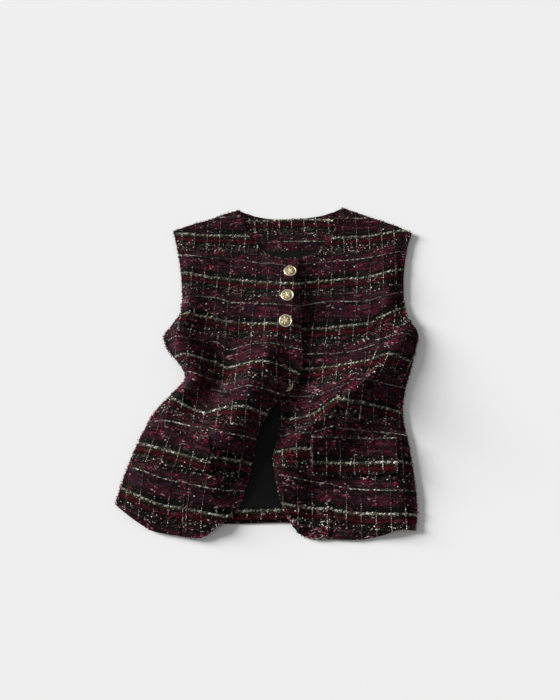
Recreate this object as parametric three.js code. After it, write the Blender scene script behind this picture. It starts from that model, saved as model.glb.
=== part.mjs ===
// Women's collarless tweed waistcoat, laid on its back. Millimetres, +Z up, the neck towards +Y.
// The front at -X is the wearer's right one. It laps over the other and is buttoned at the chest.
import * as THREE from "three";

// Thickness of each layer, and the room left between layers and at seams
const BACK = 2.2;
const LINING = 1;
const FACING = 1.5;
const FRONT = 2.5;
const FLAP = 2;
const GAP = 0.3;

// Heights of the flat layers: the back lies on the ground, lining and facings lie on the back
const INSIDE_BACK = BACK + GAP;
const UNDER_FRONTS = INSIDE_BACK + FACING + GAP;
const ON_GROUND = 0.4;

// The fronts come down onto the back over this width along the outer seams
const SEAM_FLAT = 4;
const SEAM_SLOPE = 17;
const LINING_INSET = 19;
const HEM_DROP_START = 7;
const HEM_DROP_END = 20;

// Size of one mesh cell of the fronts
const COLUMNS_CENTRE = 14;
const COLUMNS_SIDE = 7;
const ROWS_CHEST = 12;
const ROWS_BODY = 32;

// Plan of the laid garment. Each line is a few points, which a smooth curve joins.
const OVER = {
  shoulder: [[-173, 203], [-145, 215], [-117, 224], [-94, 234], [-66, 243]],
  armhole: [[-173, 203], [-167, 179], [-160, 147], [-155.5, 115], [-152.4, 84]],
  underarm: [[-152.8, 78], [-154, 56]],
  side: [[-154, 56], [-168, 36], [-177.5, 20], [-171, -1], [-154, -22], [-141.5, -46], [-161, -72],
    [-183, -97], [-207, -150], [-225, -205], [-231, -233]],
  princess: [[-152.4, 84], [-124, 70.5], [-101.5, 48.7], [-95.5, 4], [-98.5, -43], [-108.5, -97],
    [-121, -142], [-127, -205], [-132, -241], [-136, -276]],
  sideHem: [[-231, -233], [-221, -241], [-200, -256], [-178, -268.5], [-156, -273], [-136, -276]],
  hem: [[-136, -276], [-118, -278], [-104, -275.5], [-93, -268.5], [-80, -259]],
  neck: [[-66, 243], [-60, 219.5], [-48.5, 190], [-34, 173.5], [-22, 161], [-2, 151.5], [28.5, 151]],
  edge: [[28.5, 151], [31, 78], [32, 12], [31, -40], [15, -60], [-17, -105], [-31, -130],
    [-37, -160], [-45, -197], [-51, -217], [-62, -242], [-80, -259]],
};
const UNDER = {
  shoulder: [[102, 248], [134, 234.5], [164, 223], [187, 213.5], [214, 200]],
  armhole: [[214, 200], [206, 176], [199.5, 147], [195.5, 119], [193.6, 82]],
  underarm: [[193.8, 76], [197, 46]],
  side: [[197, 46], [208.5, 33], [212, 21], [208.5, 6], [199, -26], [186, -67], [180.5, -101],
    [187, -153], [192.5, -215], [192, -247], [188, -268]],
  princess: [[193.6, 82], [170, 67], [151, 53.7], [147, 37], [144, 9], [138, -18], [112, -48],
    [88, -80], [78, -125], [75, -205], [74.5, -241], [73, -280]],
  sideHem: [[73, -280], [93.5, -280.5], [111, -280.5], [141, -275], [167, -267.5], [188, -268]],
  hem: [[24, -271], [35, -276.5], [47, -279], [73, -280]],
  neck: [[102, 248], [94.6, 220], [86, 198], [77, 184], [61, 166], [44, 157], [28, 149], [-6, 147.5]],
  edge: [[-6, 147.5], [-6, 60], [-6, -20], [-1, -75], [0, -110], [-4, -145], [-10, -166], [-7, -190],
    [0.5, -225], [8, -246], [24, -271]],
};
const BACK_NECK = [[102, 248], [89, 241], [72, 233], [44, 227.5], [15, 225], [-12, 225.5],
  [-40, 230.5], [-66, 243]];
const BACK_HEM = [[-230, -231], [-180, -245], [-130, -252], [-81, -256], [11, -254], [90, -257],
  [188, -264]];
const NECK_FACING = {
  top: [[-54, 237], [-40, 231.5], [-12, 226.5], [15, 226], [44, 228.5], [72, 234], [86, 239.5]],
  right: [[86, 239.5], [88, 226], [100, 214], [116, 204]],
  bottom: [[116, 204], [101, 184], [70, 173], [15, 169], [-42, 172], [-78, 184], [-92, 204]],
  left: [[-92, 204], [-72, 212], [-57, 222], [-54, 237]],
};
const HEM_FACING_DEPTH = 17;

// Folds. A row for each point along a crest, from the chest down: where it is in the plan, how high
// the cloth stands there above its flat lay, and how far the fold reaches to the left and to the
// right of the crest as seen on the plan.
const COLUMNS = ["x", "y", "rise", "left", "right"];
const OVER_FOLDS = {
  sidePuff: table(COLUMNS, [
    [-150, 52, 3, 9, 34],
    [-156, 31, 14, 17, 44],
    [-149, 2, 19, 22, 54],
    [-138, -28, 17, 17, 50],
    [-130, -50, 14, 15, 48],
    [-147, -76, 12, 17, 46],
    [-163, -100, 7, 20, 44],
  ]),
  bodyRidge: table(COLUMNS, [
    [-14, 32, 1, 34, 40],
    [-22, 8, 8, 44, 48],
    [-32, -28, 21, 50, 58],
    [-41, -60, 29, 54, 60],
    [-50, -84, 31, 58, 60],
    [-60, -108, 30.5, 66, 60],
    [-72, -130, 29, 84, 60],
    [-91, -152, 26, 100, 60],
    [-101, -190, 20, 108, 58],
    [-102, -232, 10, 104, 44],
    [-102, -268, 2, 90, 30],
  ]),
  skirtRoll: table(COLUMNS, [
    [-160, -98, 1, 24, 40],
    [-174, -132, 8, 32, 60],
    [-186, -172, 11, 38, 64],
    [-190, -212, 9, 38, 64],
    [-188, -250, 1, 36, 50],
  ]),
  placket: table(COLUMNS, [
    [18, 146, 0.5, 40, 60],
    [17, 110, 4, 72, 60],
    [17, 66, 6.5, 78, 60],
    [18, 30, 5, 66, 60],
    [22, -20, 3, 40, 60],
    [16, -62, 6, 24, 40],
    [-16, -104, 3, 24, 40],
    [-34, -150, 3, 24, 40],
    [-48, -208, 2, 24, 40],
  ]),
  armhole: table(COLUMNS, [
    [-146, 168, 1, 10, 40],
    [-147, 140, 3, 11, 44],
    [-144, 110, 5, 11, 46],
    [-142, 84, 6, 11, 46],
    [-145, 62, 4, 10, 40],
  ]),
};
const UNDER_FOLDS = {
  diagonalRidge: table(COLUMNS, [
    [196, 34, 4, 40, 13],
    [187, 14, 11, 48, 18],
    [164, -18, 15, 60, 28],
    [131, -50, 21, 68, 46],
    [105, -76, 25, 72, 64],
    [74, -101, 23, 66, 76],
    [46, -124, 19, 50, 80],
    [23, -148, 17, 36, 80],
    [8, -172, 15.5, 28, 76],
    [2, -198, 13, 26, 64],
    [5, -220, 9.5, 26, 54],
    [13, -246, 4, 22, 36],
  ]),
  hip: table(COLUMNS, [
    [150, -76, 1, 50, 30],
    [160, -115, 3, 60, 26],
    [164, -170, 5, 70, 24],
    [166, -225, 4, 70, 22],
    [162, -262, 1, 60, 22],
  ]),
  bust: table(COLUMNS, [
    [172, 165, 1, 40, 26],
    [167, 118, 6, 52, 28],
    [164, 80, 6, 52, 30],
    [158, 44, 3, 50, 36],
  ]),
};

// Pocket flaps: the corners on the plan, from the top corner nearer -X, clockwise from above
const FLAP_COLUMNS = 12;
const FLAP_ROWS = 6;
const FLAP_STAND = 1.2;
const OVER_FLAP = [[-190, -121], [-101.5, -142], [-96, -193], [-208, -173]];
const UNDER_FLAP = [[45, -138], [167, -139], [167, -191], [45, -194]];

// Shank buttons: where each stands on the plan, and how far its face tips towards the neck, degrees
const BUTTONS = table(["x", "y", "tip", "front"], [
  [16, 125, 8, "over"],
  [11.5, 82.5, 4, "over"],
  [8.5, 40.5, -8, "over"],
  [9.5, -59, 0, "under"],
]);
// The shank stands just clear of the cloth's curve
const BUTTON_RADIUS = 10;
const BUTTON_SIDES = 24;
const SHANK_RADIUS = 2.6;
const SHANK_LENGTH = 2.4;
const SHANK_STAND = 0.8;
const BUTTON_HEIGHT = 6;

function table(columns, rows) {
  return rows.map((row) => Object.fromEntries(columns.map((name, i) => [name, row[i]])));
}

const clamp = THREE.MathUtils.clamp;
const smoothstep = THREE.MathUtils.smoothstep;

// A smooth curve through plan points, as evenly spaced points
function smooth(points, count) {
  const curve = new THREE.CatmullRomCurve3(points.map(([x, y]) => new THREE.Vector3(x, y, 0)));
  return curve.getSpacedPoints(count).map((p) => new THREE.Vector2(p.x, p.y));
}

// Several curves end to end, without repeating the points where they join
function chain(...curves) {
  return curves.reduce((whole, next) => whole.concat(next.slice(1)));
}

// The same points moved sideways, to the left of the way they run
function shifted(points, distance) {
  return points.map((p, i) => {
    const along = points[Math.min(i + 1, points.length - 1)]
      .clone()
      .sub(points[Math.max(i - 1, 0)])
      .normalize();
    return new THREE.Vector2(p.x - along.y * distance, p.y + along.x * distance);
  });
}

// Distance from a plan point to a line of points, and where on the line the nearest point is
function nearest(line, x, y) {
  let best = { distance: Infinity };
  for (let i = 0; i + 1 < line.length; i++) {
    const a = line[i];
    const b = line[i + 1];
    const dx = b.x - a.x;
    const dy = b.y - a.y;
    const share = clamp(((x - a.x) * dx + (y - a.y) * dy) / (dx * dx + dy * dy), 0, 1);
    const distance = Math.hypot(x - a.x - share * dx, y - a.y - share * dy);
    if (distance < best.distance) {
      best = { distance, index: i, share, turn: dx * (y - a.y) - dy * (x - a.x) };
    }
  }
  return best;
}

// A fold's crest refined between the rows of its table
const CREST_STEPS = 6;
function crestLine(rows) {
  const curve = new THREE.CatmullRomCurve3(rows.map((r) => new THREE.Vector3(r.x, r.y, r.rise)));
  const last = (rows.length - 1) * CREST_STEPS;
  return Array.from({ length: last + 1 }, (_, i) => {
    const p = curve.getPoint(i / last);
    const row = Math.min(Math.floor(i / CREST_STEPS), rows.length - 2);
    const share = i / CREST_STEPS - row;
    const left = THREE.MathUtils.lerp(rows[row].left, rows[row + 1].left, share);
    const right = THREE.MathUtils.lerp(rows[row].right, rows[row + 1].right, share);
    return { x: p.x, y: p.y, rise: Math.max(p.z, 0), left, right };
  });
}

// How far the folds lift the cloth at a plan point: each crest falls away on both sides as a soft
// bell. Its height and reach are averaged over the nearby stretch of crest. The crests run
// downwards, so a positive turn is to the right of the crest on the plan.
const CREST_BLEND = 12;
function foldRise(crests, x, y) {
  let rise = 0;
  for (const crest of crests) {
    const hit = nearest(crest, x, y);
    const side = hit.turn > 0 ? "right" : "left";
    let weights = 0;
    let height = 0;
    let reach = 0;
    for (const p of crest) {
      const further = (p.x - x) ** 2 + (p.y - y) ** 2 - hit.distance ** 2;
      const weight = Math.exp(-further / (2 * CREST_BLEND ** 2));
      weights += weight;
      height += weight * p.rise;
      reach += weight * p[side];
    }
    const away = Math.min((hit.distance * weights) / reach, 1);
    rise += (height / weights) * (0.5 + 0.5 * Math.cos(Math.PI * away));
  }
  return rise;
}

const overCrests = Object.values(OVER_FOLDS).map(crestLine);
const underCrests = Object.values(UNDER_FOLDS).map(crestLine);
const overOutline = chain(smooth(OVER.shoulder.toReversed(), 12), smooth(OVER.armhole, 12),
  smooth(OVER.underarm, 2), smooth(OVER.side, 40));
const underOutline = chain(smooth(UNDER.shoulder, 12), smooth(UNDER.armhole, 12),
  smooth(UNDER.underarm, 2), smooth(UNDER.side, 40));
const underEdge = smooth(UNDER.edge, 40);
const backHem = smooth(BACK_HEM, 40);

// Height of the back's hem on the plan at x
function hemAt(x) {
  const past = backHem.findIndex((p) => p.x > x);
  const i = past < 0 ? backHem.length - 1 : Math.max(past, 1);
  const a = backHem[i - 1];
  const b = backHem[i];
  return THREE.MathUtils.mapLinear(clamp(x, a.x, b.x), a.x, b.x, a.y, b.y);
}

// Underside of a front where it lies flat: on the facings inside, on the back along the outer
// seams, and on the ground beyond the back's hem
function restHeight(outline, x, y) {
  const inward = nearest(outline, x, y).distance;
  const onBack = INSIDE_BACK + (UNDER_FRONTS - INSIDE_BACK) * smoothstep(inward, SEAM_FLAT, SEAM_SLOPE);
  const beyond = smoothstep(hemAt(x) - y, HEM_DROP_START, HEM_DROP_END);
  return THREE.MathUtils.lerp(onBack, ON_GROUND, beyond);
}

function underTop(x, y) {
  return restHeight(underOutline, x, y) + FRONT + foldRise(underCrests, x, y);
}

// The lapping front also climbs over the front below it, before it reaches that front's edge
const LAP_START = -26;
const LAP_END = -10;
function overTop(x, y) {
  const edge = nearest(underEdge, x, y);
  const past = edge.turn > 0 ? edge.distance : -edge.distance;
  const lap = smoothstep(past, LAP_START, LAP_END) * (FRONT + GAP + foldRise(underCrests, x, y));
  return restHeight(overOutline, x, y) + FRONT + lap + foldRise(overCrests, x, y);
}

// Upward normal of a height function
function normalAt(height, x, y) {
  const step = 0.5;
  const slopeX = (height(x + step, y) - height(x - step, y)) / (2 * step);
  const slopeY = (height(x, y + step) - height(x, y - step)) / (2 * step);
  return new THREE.Vector3(-slopeX, -slopeY, 1).normalize();
}

// Plan points of a four-sided piece, row by row from the top side down, each row from left to right
function fourSided({ left, right, top, bottom }) {
  const rows = left.length - 1;
  const columns = top.length - 1;
  return left.map((leftPoint, j) => top.map((topPoint, i) => {
    const u = i / columns;
    const v = j / rows;
    const across = leftPoint.clone().lerp(right[j], u);
    const down = topPoint.clone().lerp(bottom[i], v);
    const corners = top[0].clone().lerp(top[columns], u)
      .lerp(bottom[0].clone().lerp(bottom[columns], u), v);
    return across.add(down).sub(corners);
  }));
}

// A closed cloth wall over a grid of plan points: the outer face stands `lift` above `height`,
// and the inner face is moved in from it by the wall's thickness, both along the cloth's normal
function clothWall(grid, height, thickness, lift = 0) {
  const rows = grid.length;
  const columns = grid[0].length;
  const outer = [];
  const inner = [];
  for (const p of grid.flat()) {
    const normal = normalAt(height, p.x, p.y);
    const on = new THREE.Vector3(p.x, p.y, height(p.x, p.y));
    outer.push(on.clone().addScaledVector(normal, lift));
    inner.push(on.clone().addScaledVector(normal, lift - thickness));
  }
  const count = rows * columns;
  const index = [];
  const quad = (a, b, c, d) => index.push(a, b, c, a, c, d);
  for (let j = 0; j + 1 < rows; j++) {
    for (let i = 0; i + 1 < columns; i++) {
      const a = j * columns + i;
      const b = a + columns;
      quad(a, b, b + 1, a + 1);
      quad(count + a, count + a + 1, count + b + 1, count + b);
    }
  }
  const rim = [];
  for (let i = 0; i < columns - 1; i++) rim.push(i);
  for (let j = 0; j < rows - 1; j++) rim.push(j * columns + columns - 1);
  for (let i = columns - 1; i > 0; i--) rim.push((rows - 1) * columns + i);
  for (let j = rows - 1; j > 0; j--) rim.push(j * columns);
  // Each face of the rim is split from its point nearer the neck, so that two pieces match at a seam
  rim.forEach((a, k) => {
    const b = rim[(k + 1) % rim.length];
    if (outer[a].y > outer[b].y) quad(a, b, count + b, count + a);
    else quad(b, count + b, count + a, a);
  });
  const geometry = new THREE.BufferGeometry().setFromPoints(outer.concat(inner));
  geometry.setIndex(index);
  geometry.computeVertexNormals();
  return geometry;
}

// A flat sheet with the given outline, lying at a height
function flatSheet(outline, height, thickness) {
  const shape = new THREE.Shape(outline);
  const geometry = new THREE.ExtrudeGeometry(shape, { depth: thickness, bevelEnabled: false });
  geometry.translate(0, 0, height);
  return geometry;
}

const tweed = { color: 0x3a1a24, roughness: 0.95, metalness: 0 };
const satin = { color: 0x131313, roughness: 0.45, metalness: 0 };
const gold = { color: 0xd9a94e, roughness: 0.3, metalness: 1 };
const laid = new THREE.Group();

function addPiece(name, geometry, finish) {
  const mesh = new THREE.Mesh(geometry, new THREE.MeshStandardMaterial(finish));
  mesh.name = name;
  laid.add(mesh);
  return mesh;
}

// Fronts: each has a centre panel and a side panel, joined on the princess seam
function frontPanels(front, height, name, centreIsRight) {
  const princess = smooth(front.princess, ROWS_BODY);
  const toCentre = centreIsRight ? GAP / 2 : -GAP / 2;
  const outerSide = chain(smooth(front.armhole, ROWS_CHEST), shifted(princess, toCentre));
  const openSide = chain(smooth(front.neck, ROWS_CHEST), smooth(front.edge, ROWS_BODY));
  const hemEnd = outerSide[outerSide.length - 1];
  const centreHem = centreIsRight ? front.hem : front.hem.toReversed();
  const hem = smooth([hemEnd.toArray(), ...centreHem.slice(1)], COLUMNS_CENTRE);
  const shoulder = smooth(centreIsRight ? front.shoulder : front.shoulder.toReversed(), COLUMNS_CENTRE);
  const centre = { left: outerSide, right: openSide, top: shoulder, bottom: hem };

  const seam = shifted(princess, -toCentre);
  const sideRows = ROWS_BODY - 2;
  const sideEdge = chain(smooth(front.underarm, 2), smooth(front.side, sideRows));
  const sideTop = smooth([sideEdge[0].toArray(), seam[0].toArray()], COLUMNS_SIDE);
  const seamEnd = seam[seam.length - 1].toArray();
  const outward = centreIsRight ? front.sideHem.slice(0, -1) : front.sideHem.slice(1).toReversed();
  const sideHem = smooth([...outward, seamEnd], COLUMNS_SIDE);
  const side = { left: sideEdge, right: seam, top: sideTop, bottom: sideHem };

  for (const [part, sides] of [["centre", centre], ["side", side]]) {
    const grid = fourSided(sides);
    if (!centreIsRight) grid.forEach((row) => row.reverse());
    addPiece(`${name}_front_${part}`, clothWall(grid, height, FRONT), tweed);
  }
}

frontPanels(OVER, overTop, "over", true);
frontPanels(UNDER, underTop, "under", false);

// Flaps lie on the fronts, made from the fronts' own surface moved out
function flap(corners, height, name) {
  const [topLeft, topRight, bottomRight, bottomLeft] = corners;
  const side = (from, to, count) => smooth([from, to], count);
  const grid = fourSided({
    left: side(topLeft, bottomLeft, FLAP_ROWS),
    right: side(topRight, bottomRight, FLAP_ROWS),
    top: side(topLeft, topRight, FLAP_COLUMNS),
    bottom: side(bottomLeft, bottomRight, FLAP_COLUMNS),
  });
  addPiece(`${name}_flap`, clothWall(grid, height, FLAP, FLAP + FLAP_STAND), tweed);
}

flap(OVER_FLAP, overTop, "over");
flap(UNDER_FLAP, underTop, "under");

// Back: one flat piece with the outline of the whole garment, just inside the fronts' edge
const BACK_INSET = 0.5;
const round = chain(overOutline, backHem, underOutline.toReversed(), smooth(BACK_NECK, 20));
addPiece("back", flatSheet(shifted(round, BACK_INSET).slice(1), 0, BACK), tweed);

// Neck facing, lining and hem facing lie on the inside of the back, side by side
const facingBottom = smooth(NECK_FACING.bottom, 16);
const neckFacing = chain(smooth(NECK_FACING.top, 16), smooth(NECK_FACING.right, 6), facingBottom,
  smooth(NECK_FACING.left, 6));
addPiece("back_neck_facing", flatSheet(neckFacing.slice(1), INSIDE_BACK, FACING), tweed);

// The stretch of an outer edge between two heights on the plan, moved inwards
function innerEdge(outline, inset, low, high) {
  return shifted(outline, inset).filter((p) => p.y > low && p.y < high);
}
const liningLeft = innerEdge(overOutline, LINING_INSET, -218, 165);
const liningRight = innerEdge(underOutline, -LINING_INSET, -218, 165);
const hemTop = shifted(backHem, HEM_FACING_DEPTH + GAP);
const withinSides = (p) => p.x > -204 && p.x < 168;
const facingLine = shifted(facingBottom, GAP);
const lining = [...liningLeft, ...hemTop.filter(withinSides), ...liningRight.toReversed(), ...facingLine];
addPiece("back_lining", flatSheet(lining, INSIDE_BACK, LINING), satin);

const hemFacing = [...shifted(backHem, 1).filter(withinSides),
  ...shifted(backHem, HEM_FACING_DEPTH).filter(withinSides).toReversed()];
addPiece("back_hem_facing", flatSheet(hemFacing, INSIDE_BACK, FACING), tweed);

// Buttons: a shank under a shallow domed head with a raised rim
function buttonGeometry() {
  const head = SHANK_LENGTH;
  const profile = [
    [0, 0],
    [SHANK_RADIUS, 0],
    [SHANK_RADIUS, head],
    [BUTTON_RADIUS - 0.9, head + 0.3],
    [BUTTON_RADIUS, head + 1.1],
    [BUTTON_RADIUS - 0.4, head + 1.9],
    [BUTTON_RADIUS - 1.6, head + 2.1],
    [BUTTON_RADIUS * 0.55, head + 2.9],
    [0, BUTTON_HEIGHT],
  ];
  const lathe = new THREE.LatheGeometry(profile.map(([r, z]) => new THREE.Vector2(r, z)), BUTTON_SIDES);
  return lathe.rotateX(Math.PI / 2);
}

BUTTONS.forEach(({ x, y, tip, front }, i) => {
  const height = front === "over" ? overTop : underTop;
  const normal = normalAt(height, x, y);
  const tilt = THREE.MathUtils.degToRad(tip);
  const lift = SHANK_STAND + SHANK_RADIUS * Math.abs(Math.sin(tilt));
  const seat = new THREE.Vector3(x, y, height(x, y)).addScaledVector(normal, lift);
  const button = addPiece(`button_${i + 1}`, buttonGeometry(), gold);
  const tipped = normal.clone().applyAxisAngle(new THREE.Vector3(1, 0, 0), -tilt);
  button.quaternion.setFromUnitVectors(new THREE.Vector3(0, 0, 1), tipped);
  button.position.copy(seat);
});

// The origin is the middle of the whole garment's footprint, on the ground
const whole = new THREE.Box3().setFromObject(laid);
const middle = whole.getCenter(new THREE.Vector3());
laid.position.set(-middle.x, -middle.y, 0);

const group = new THREE.Group();
group.add(laid);
export default group;
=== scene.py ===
import math

import bmesh
import bpy
import numpy as np
from mathutils import Matrix, Vector


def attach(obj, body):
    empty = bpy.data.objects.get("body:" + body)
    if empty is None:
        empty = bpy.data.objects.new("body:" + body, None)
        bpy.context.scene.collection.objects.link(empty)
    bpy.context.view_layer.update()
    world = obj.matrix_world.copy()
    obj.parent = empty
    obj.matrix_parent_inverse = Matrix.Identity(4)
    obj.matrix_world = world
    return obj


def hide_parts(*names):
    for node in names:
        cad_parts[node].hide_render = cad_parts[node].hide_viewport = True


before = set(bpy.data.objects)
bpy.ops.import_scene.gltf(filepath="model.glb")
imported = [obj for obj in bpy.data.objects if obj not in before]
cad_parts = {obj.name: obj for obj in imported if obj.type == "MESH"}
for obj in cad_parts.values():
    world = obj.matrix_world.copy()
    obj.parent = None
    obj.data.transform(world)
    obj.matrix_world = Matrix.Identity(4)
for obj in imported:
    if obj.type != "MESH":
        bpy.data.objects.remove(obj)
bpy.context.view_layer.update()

scene = bpy.context.scene

# Camera, light and floor. The garment lies on its back on a pale floor, seen from 70 degrees above
# it with the hem nearest. The light is soft and low, from beyond the shoulder on the left.
camera_data = bpy.data.cameras.new("camera")
camera_data.lens = 35.0
camera_data.sensor_width = 36.0
camera = bpy.data.objects.new("camera", camera_data)
camera.location = (0.0085, -0.3393, 0.9773)
camera.rotation_euler = (math.radians(20), 0, 0)
scene.collection.objects.link(camera)
scene.camera = camera

LAMP_HEIGHT = math.radians(16)
LAMP_FROM = math.radians(159)
lamp_data = bpy.data.lights.new("window light", "SUN")
lamp_data.energy = 8.0
lamp_data.angle = math.radians(22)
lamp = bpy.data.objects.new("window light", lamp_data)
to_lamp = Vector((math.cos(LAMP_HEIGHT) * math.cos(LAMP_FROM),
                  math.cos(LAMP_HEIGHT) * math.sin(LAMP_FROM), math.sin(LAMP_HEIGHT)))
lamp.rotation_euler = to_lamp.to_track_quat("Z", "Y").to_euler()
scene.collection.objects.link(lamp)

scene.view_settings.view_transform = "Standard"
world = bpy.data.worlds.new("soft room")
world.use_nodes = True
world.node_tree.nodes["Background"].inputs["Color"].default_value = (1, 1, 1, 1)
world.node_tree.nodes["Background"].inputs["Strength"].default_value = 0.30
scene.world = world


def material_of(name, slot_colour, roughness):
    """A new material in one plain colour, with its node tree and its shader."""
    material = bpy.data.materials.new(name)
    material.use_nodes = True
    shader = material.node_tree.nodes["Principled BSDF"]
    shader.inputs["Base Color"].default_value = (*slot_colour, 1)
    shader.inputs["Roughness"].default_value = roughness
    return material, material.node_tree, shader


def add(tree, kind, inputs=None, **settings):
    """A shader node with its settings, and its sockets set or linked."""
    node = tree.nodes.new("ShaderNode" + kind)
    for key, value in settings.items():
        setattr(node, key, value)
    for socket, value in (inputs or {}).items():
        if isinstance(value, bpy.types.NodeSocket):
            tree.links.new(value, node.inputs[socket])
        else:
            node.inputs[socket].default_value = value
    return node


def maths(tree, operation, *values):
    """The result of one Math node."""
    return add(tree, "Math", dict(enumerate(values)), operation=operation).outputs[0]


floor_paint, _, floor_shader = material_of("pale floor", (0.86, 0.86, 0.86), 0.9)
floor_shader.inputs["Specular IOR Level"].default_value = 0.1
bm = bmesh.new()
bmesh.ops.create_grid(bm, x_segments=1, y_segments=1, size=4)
bmesh.ops.translate(bm, verts=bm.verts, vec=(0, 0, -0.0002))
floor_mesh = bpy.data.meshes.new("floor")
bm.to_mesh(floor_mesh)
bm.free()
floor = bpy.data.objects.new("floor", floor_mesh)
floor_mesh.materials.append(floor_paint)
scene.collection.objects.link(floor)

# Back. One panel of boucle tweed, face down on the floor, cut to the outline of the whole garment.
# The outer seams of the fronts are given here, because the back is sewn to them there.
# Plans are in millimetres, seen from above, with the neck towards +y.
PLAN_SHIFT = (8.5, 16.380325)
BACK = 2.2
GAP = 0.3
INSIDE_BACK = BACK + GAP
PAST_FRONTS = 0.5
OVER = {
    "shoulder": [[-66, 243], [-94, 234], [-117, 224], [-145, 215], [-173, 203]],
    "armhole": [[-173, 203], [-167, 179], [-160, 147], [-155.5, 115], [-152.4, 84]],
    "underarm": [[-152.8, 78], [-154, 56]],
    "side": [[-154, 56], [-168, 36], [-177.5, 20], [-171, -1], [-154, -22], [-141.5, -46], [-161, -72],
             [-183, -97], [-207, -150], [-225, -205], [-231, -233]],
}
UNDER = {
    "shoulder": [[102, 248], [134, 234.5], [164, 223], [187, 213.5], [214, 200]],
    "armhole": [[214, 200], [206, 176], [199.5, 147], [195.5, 119], [193.6, 82]],
    "underarm": [[193.8, 76], [197, 46]],
    "side": [[197, 46], [208.5, 33], [212, 21], [208.5, 6], [199, -26], [186, -67], [180.5, -101],
             [187, -153], [192.5, -215], [192, -247], [188, -268]],
}
BACK_NECK = [[-66, 243], [-40, 230.5], [-12, 225.5], [15, 225], [44, 227.5], [72, 233], [89, 241],
             [102, 248]]
BACK_HEM = [[-230, -231], [-180, -245], [-130, -252], [-81, -256], [11, -254], [90, -257], [188, -264]]


def along(rows, at):
    """A smooth curve through rows of numbers, at shares of the way through them."""
    rows = np.asarray(rows, float)
    ends = np.vstack([2 * rows[0] - rows[1], rows, 2 * rows[-1] - rows[-2]])
    at = np.asarray(at, float) * (len(rows) - 1)
    first = np.minimum(at.astype(int), len(rows) - 2)
    w = (at - first)[:, None]
    p0, p1, p2, p3 = (ends[first + k] for k in range(4))
    d0, d1, d2 = (np.sqrt(np.linalg.norm(b - a, axis=1))[:, None]
                  for a, b in ((p0, p1), (p1, p2), (p2, p3)))
    leave = ((p1 - p0) / d0 - (p2 - p0) / (d0 + d1) + (p2 - p1) / d1) * d1
    arrive = ((p2 - p1) / d1 - (p3 - p1) / (d1 + d2) + (p3 - p2) / d2) * d1
    return (p1 + w * leave + w ** 2 * (3 * (p2 - p1) - 2 * leave - arrive)
            + w ** 3 * (2 * (p1 - p2) + leave + arrive))


def smooth(points, count):
    """The same curve as evenly spaced points."""
    shares = np.linspace(0, 1, 401)
    fine = along(points, shares)
    run = np.concatenate([[0], np.cumsum(np.linalg.norm(np.diff(fine, axis=0), axis=1))])
    return along(points, np.interp(np.linspace(0, run[-1], count + 1), run, shares))


def chain(*curves):
    """Curves end to end, without repeating the points where they join."""
    return np.vstack([curves[0]] + [curve[1:] for curve in curves[1:]])


def shifted(points, distance):
    """A line moved sideways, to the left of the way it runs."""
    way = np.gradient(points, axis=0)
    way /= np.linalg.norm(way, axis=1)[:, None]
    return points + distance * np.column_stack([-way[:, 1], way[:, 0]])


def four_sided(left, right, top, bottom):
    """Plan points of a four-sided piece, in rows from the top down, each from left to right."""
    u = np.linspace(0, 1, len(top))[None, :, None]
    v = np.linspace(0, 1, len(left))[:, None, None]
    across = left[:, None] * (1 - u) + right[:, None] * u
    down = top[None] * (1 - v) + bottom[None] * v
    corners = (top[0] * (1 - u) + top[-1] * u) * (1 - v) + (bottom[0] * (1 - u) + bottom[-1] * u) * v
    return across + down - corners


def ease(value, start, end):
    """A smooth rise from 0 at the start to 1 at the end."""
    share = np.clip((value - start) / (end - start), 0, 1)
    return share * share * (3 - 2 * share)


# Each finished sheet's outer face and its places in the cloth, for the yarns that are laid on it
surfaces = {}


def cloth_sheet(name, plan, height, thickness, weave, material, inside=None):
    """A sheet of cloth on a grid of plan points: its outer face, with the wall and its rounded
    edges made by modifiers. Its UV map gives each point's place in the cloth, in millimetres."""
    rows, columns = plan.shape[:2]
    x, y = plan[::-1].reshape(-1, 2).T
    z = height(x, y)
    place = np.column_stack([x + PLAN_SHIFT[0], y + PLAN_SHIFT[1], z]) * 0.001
    in_cloth = np.column_stack(weave(x, y))
    surfaces[name] = place.reshape(rows, columns, 3) * 1000, in_cloth.reshape(rows, columns, 2)
    bm = bmesh.new()
    bmesh.ops.create_grid(bm, x_segments=columns - 1, y_segments=rows - 1, size=1)
    layer = bm.loops.layers.uv.new("cloth")
    for vert, at in zip(bm.verts, place.tolist()):
        vert.co = at
    bm.verts.index_update()
    uvs = in_cloth.tolist()
    for face in bm.faces:
        face.smooth = True
        for loop in face.loops:
            loop[layer].uv = uvs[loop.vert.index]
    mesh = bpy.data.meshes.new(name)
    bm.to_mesh(mesh)
    bm.free()
    mesh.materials.append(material)
    if inside:
        mesh.materials.append(inside)
    piece = bpy.data.objects.new(name, mesh)
    scene.collection.objects.link(piece)
    wall = piece.modifiers.new("wall", "SOLIDIFY")
    wall.thickness = thickness * 0.001
    wall.offset = -1
    wall.material_offset = 1 if inside else 0
    edges = piece.modifiers.new("turned edges", "BEVEL")
    edges.width = min(0.3 * thickness, 0.9) * 0.001
    edges.segments = 3
    edges.limit_method = "ANGLE"
    edges.angle_limit = math.radians(50)
    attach(piece, "root")
    return piece


# The tweed repeats every 75 mm down the cloth: a bold cream line, a crimson band, two rows of pale
# dots, burgundy, a thin pale line, then aubergine with slubs. Dotted threads run down it at 20 mm.
REPEAT = 75.0
THREADS = 20.0
THIN_LINE = 0.53
YARN = 1.35
FLOAT = 2.7
LOOP = 3.1
DOT_STEP = 3.6
# Colour of the painted shade laid into the gaps between the picks
PAINTED_GAP_SHADE = (0.0015, 0.001, 0.001, 1)
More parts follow.
